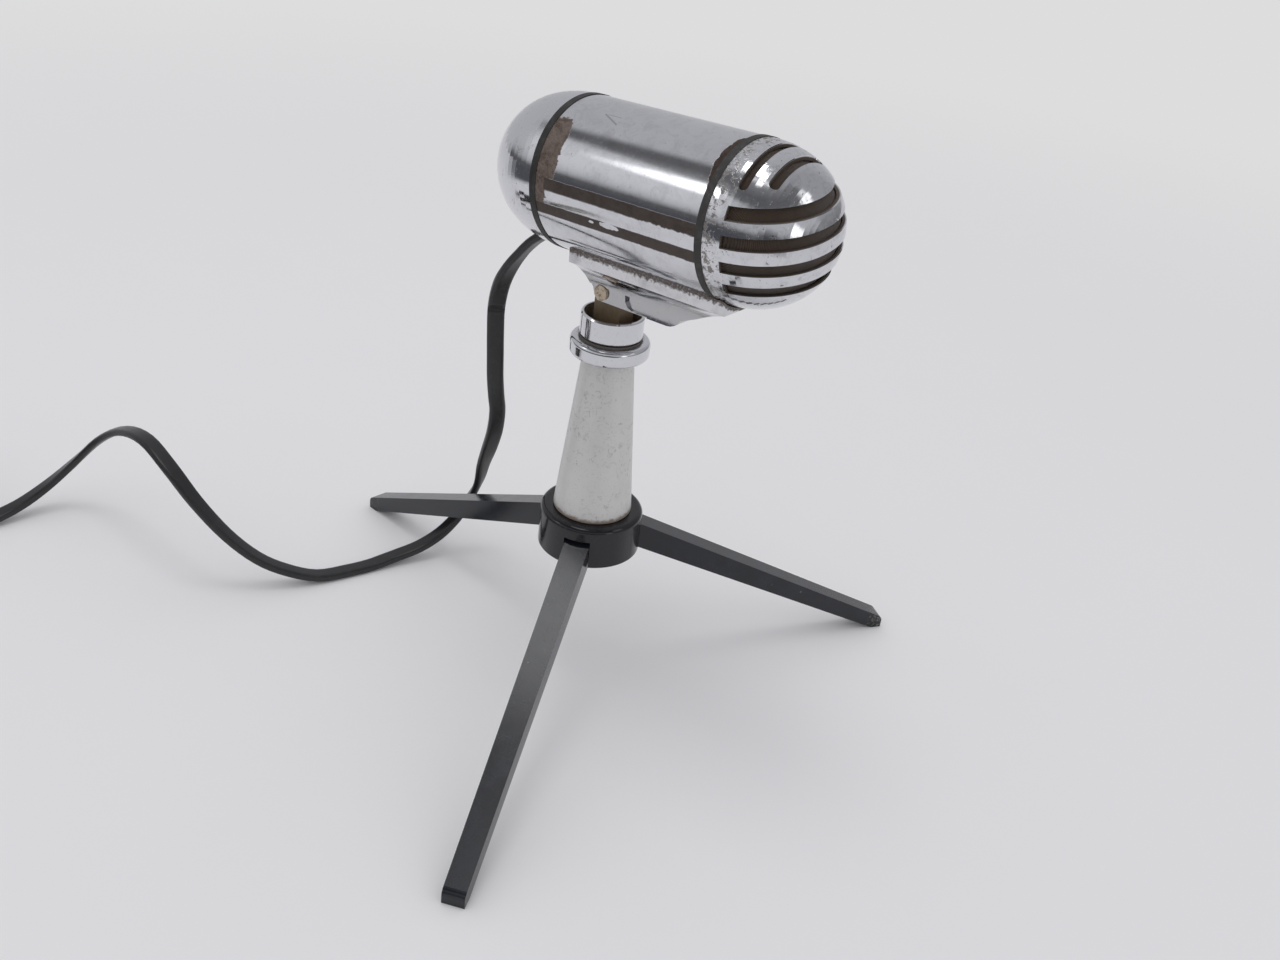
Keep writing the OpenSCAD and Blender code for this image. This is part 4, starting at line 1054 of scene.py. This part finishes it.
seen = paper.choose(far, seen, paper.shine("ShaderNodeEmission", (*FAR_PALE, 1)))
seen = paper.choose(table_end, seen, paper.shine("ShaderNodeEmission", (*DIM, 1)))
paper.plug(seen, paper.output)
floor.data.materials.append(paper.material)

# A small soft lamp high up, which gives the shadows their edge
LAMP_AT, LAMP_AIM = on_stem(-150, -50, 1000), on_stem(0, 0, 60)
bpy.ops.object.light_add(type="AREA", location=LAMP_AT)
lamp = bpy.context.object
lamp.name = "soft_lamp"
lamp.data.shape = "SQUARE"
lamp.data.size = 0.30
lamp.data.energy = 1.0
lamp.rotation_euler = (LAMP_AT - LAMP_AIM).to_track_quat("Z", "Y").to_euler()
lamp.select_set(False)

world = bpy.data.worlds.new("studio")
bpy.context.scene.world = world
world.use_nodes = True
sky = Nodes(world.node_tree, "Generated")
x, y, z = sky.axes(sky.place)
SKY_TINT = (0.985, 0.99, 1.03)


def sky_ramp(*stops):
    """Grey levels by height: -1 straight down, 1 straight up."""
    made = sky.add("ShaderNodeValToRGB")
    ramp = made.color_ramp
    while len(ramp.elements) < len(stops):
        ramp.elements.new(0.5)
    for element, (height, grey) in zip(ramp.elements, stops):
        element.position = (height + 1) / 2
        element.color = (*(grey * v for v in SKY_TINT), 1)
    return sky.plug_all(made, sky.plus(sky.times(z, 0.5), 0.5))


# The room as gloss shows it: on the camera's side, on the left and on the right
front_sky = sky_ramp(
    (-0.12, 0.10), (0.04, 0.11), (0.10, 0.34), (0.15, 0.46), (0.26, 0.52), (0.38, 0.53),
    (0.60, 0.50), (0.645, 0.14), (0.75, 0.13), (0.82, 0.15), (0.90, 0.22), (0.97, 0.42),
)
left_sky = sky_ramp((-0.4, 0.60), (0.0, 0.52), (1.0, 0.50))
right_sky = sky_ramp((-0.4, 0.45), (-0.05, 0.22), (0.12, 0.28), (0.3, 0.37), (1.0, 0.38))
back_sky = sky.colour(sky.step(x, -0.3, 0.3), left_sky, right_sky)
side = sky.minus(y, sky.times(sky.most(x, 0), 0.8))
room = sky.colour(sky.step(side, -0.10, -0.26), back_sky, front_sky)


def window(azimuth, height, inner, outer, gain):
    """A round soft-edged opening, by its place and its radii in degrees."""
    a, e = math.radians(azimuth), math.radians(height)
    way = (math.cos(e) * math.cos(a), math.cos(e) * math.sin(a), math.sin(e))
    made = sky.add("ShaderNodeVectorMath", operation="DOT_PRODUCT")
    sky.plug_all(made, sky.place, way)
    starts, full = math.cos(math.radians(outer)), math.cos(math.radians(inner))
    return sky.step(made.outputs["Value"], starts, full, 0, gain)


lights = sky.plus(
    window(-132, 33.5, 2.5, 8.0, 1.5),
    window(-128, 28, 2.0, 26, 0.20),
    window(22, 42, 4.0, 12, 1.3),
    window(-8, 9, 4.0, 11, 1.3),
    window(-90, 74, 3.0, 9, 1.4),
)
dark_door = window(-48, 0, 5, 17, 0.7)
room = sky.colour(dark_door, room, (0.05, 0.05, 0.06))
room = sky.colour(1.0, room, lights, blend_type="ADD")

# Gloss sees the room, the camera a plain backdrop, and everything else an even fill
rays = sky.add("ShaderNodeLightPath").outputs
fill = sky.shine("ShaderNodeBackground", sky_ramp((-1.0, 0.64), (0.0, 0.64), (1.0, 0.79)))
seen = sky.choose(rays["Is Glossy Ray"], fill, sky.shine("ShaderNodeBackground", room))
backdrop = sky.shine("ShaderNodeBackground", (*FAR_PALE, 1))
seen = sky.choose(rays["Is Camera Ray"], seen, backdrop)
sky.plug(seen, sky.add("ShaderNodeOutputWorld").inputs[0])

bpy.context.scene.view_settings.view_transform = "Standard"
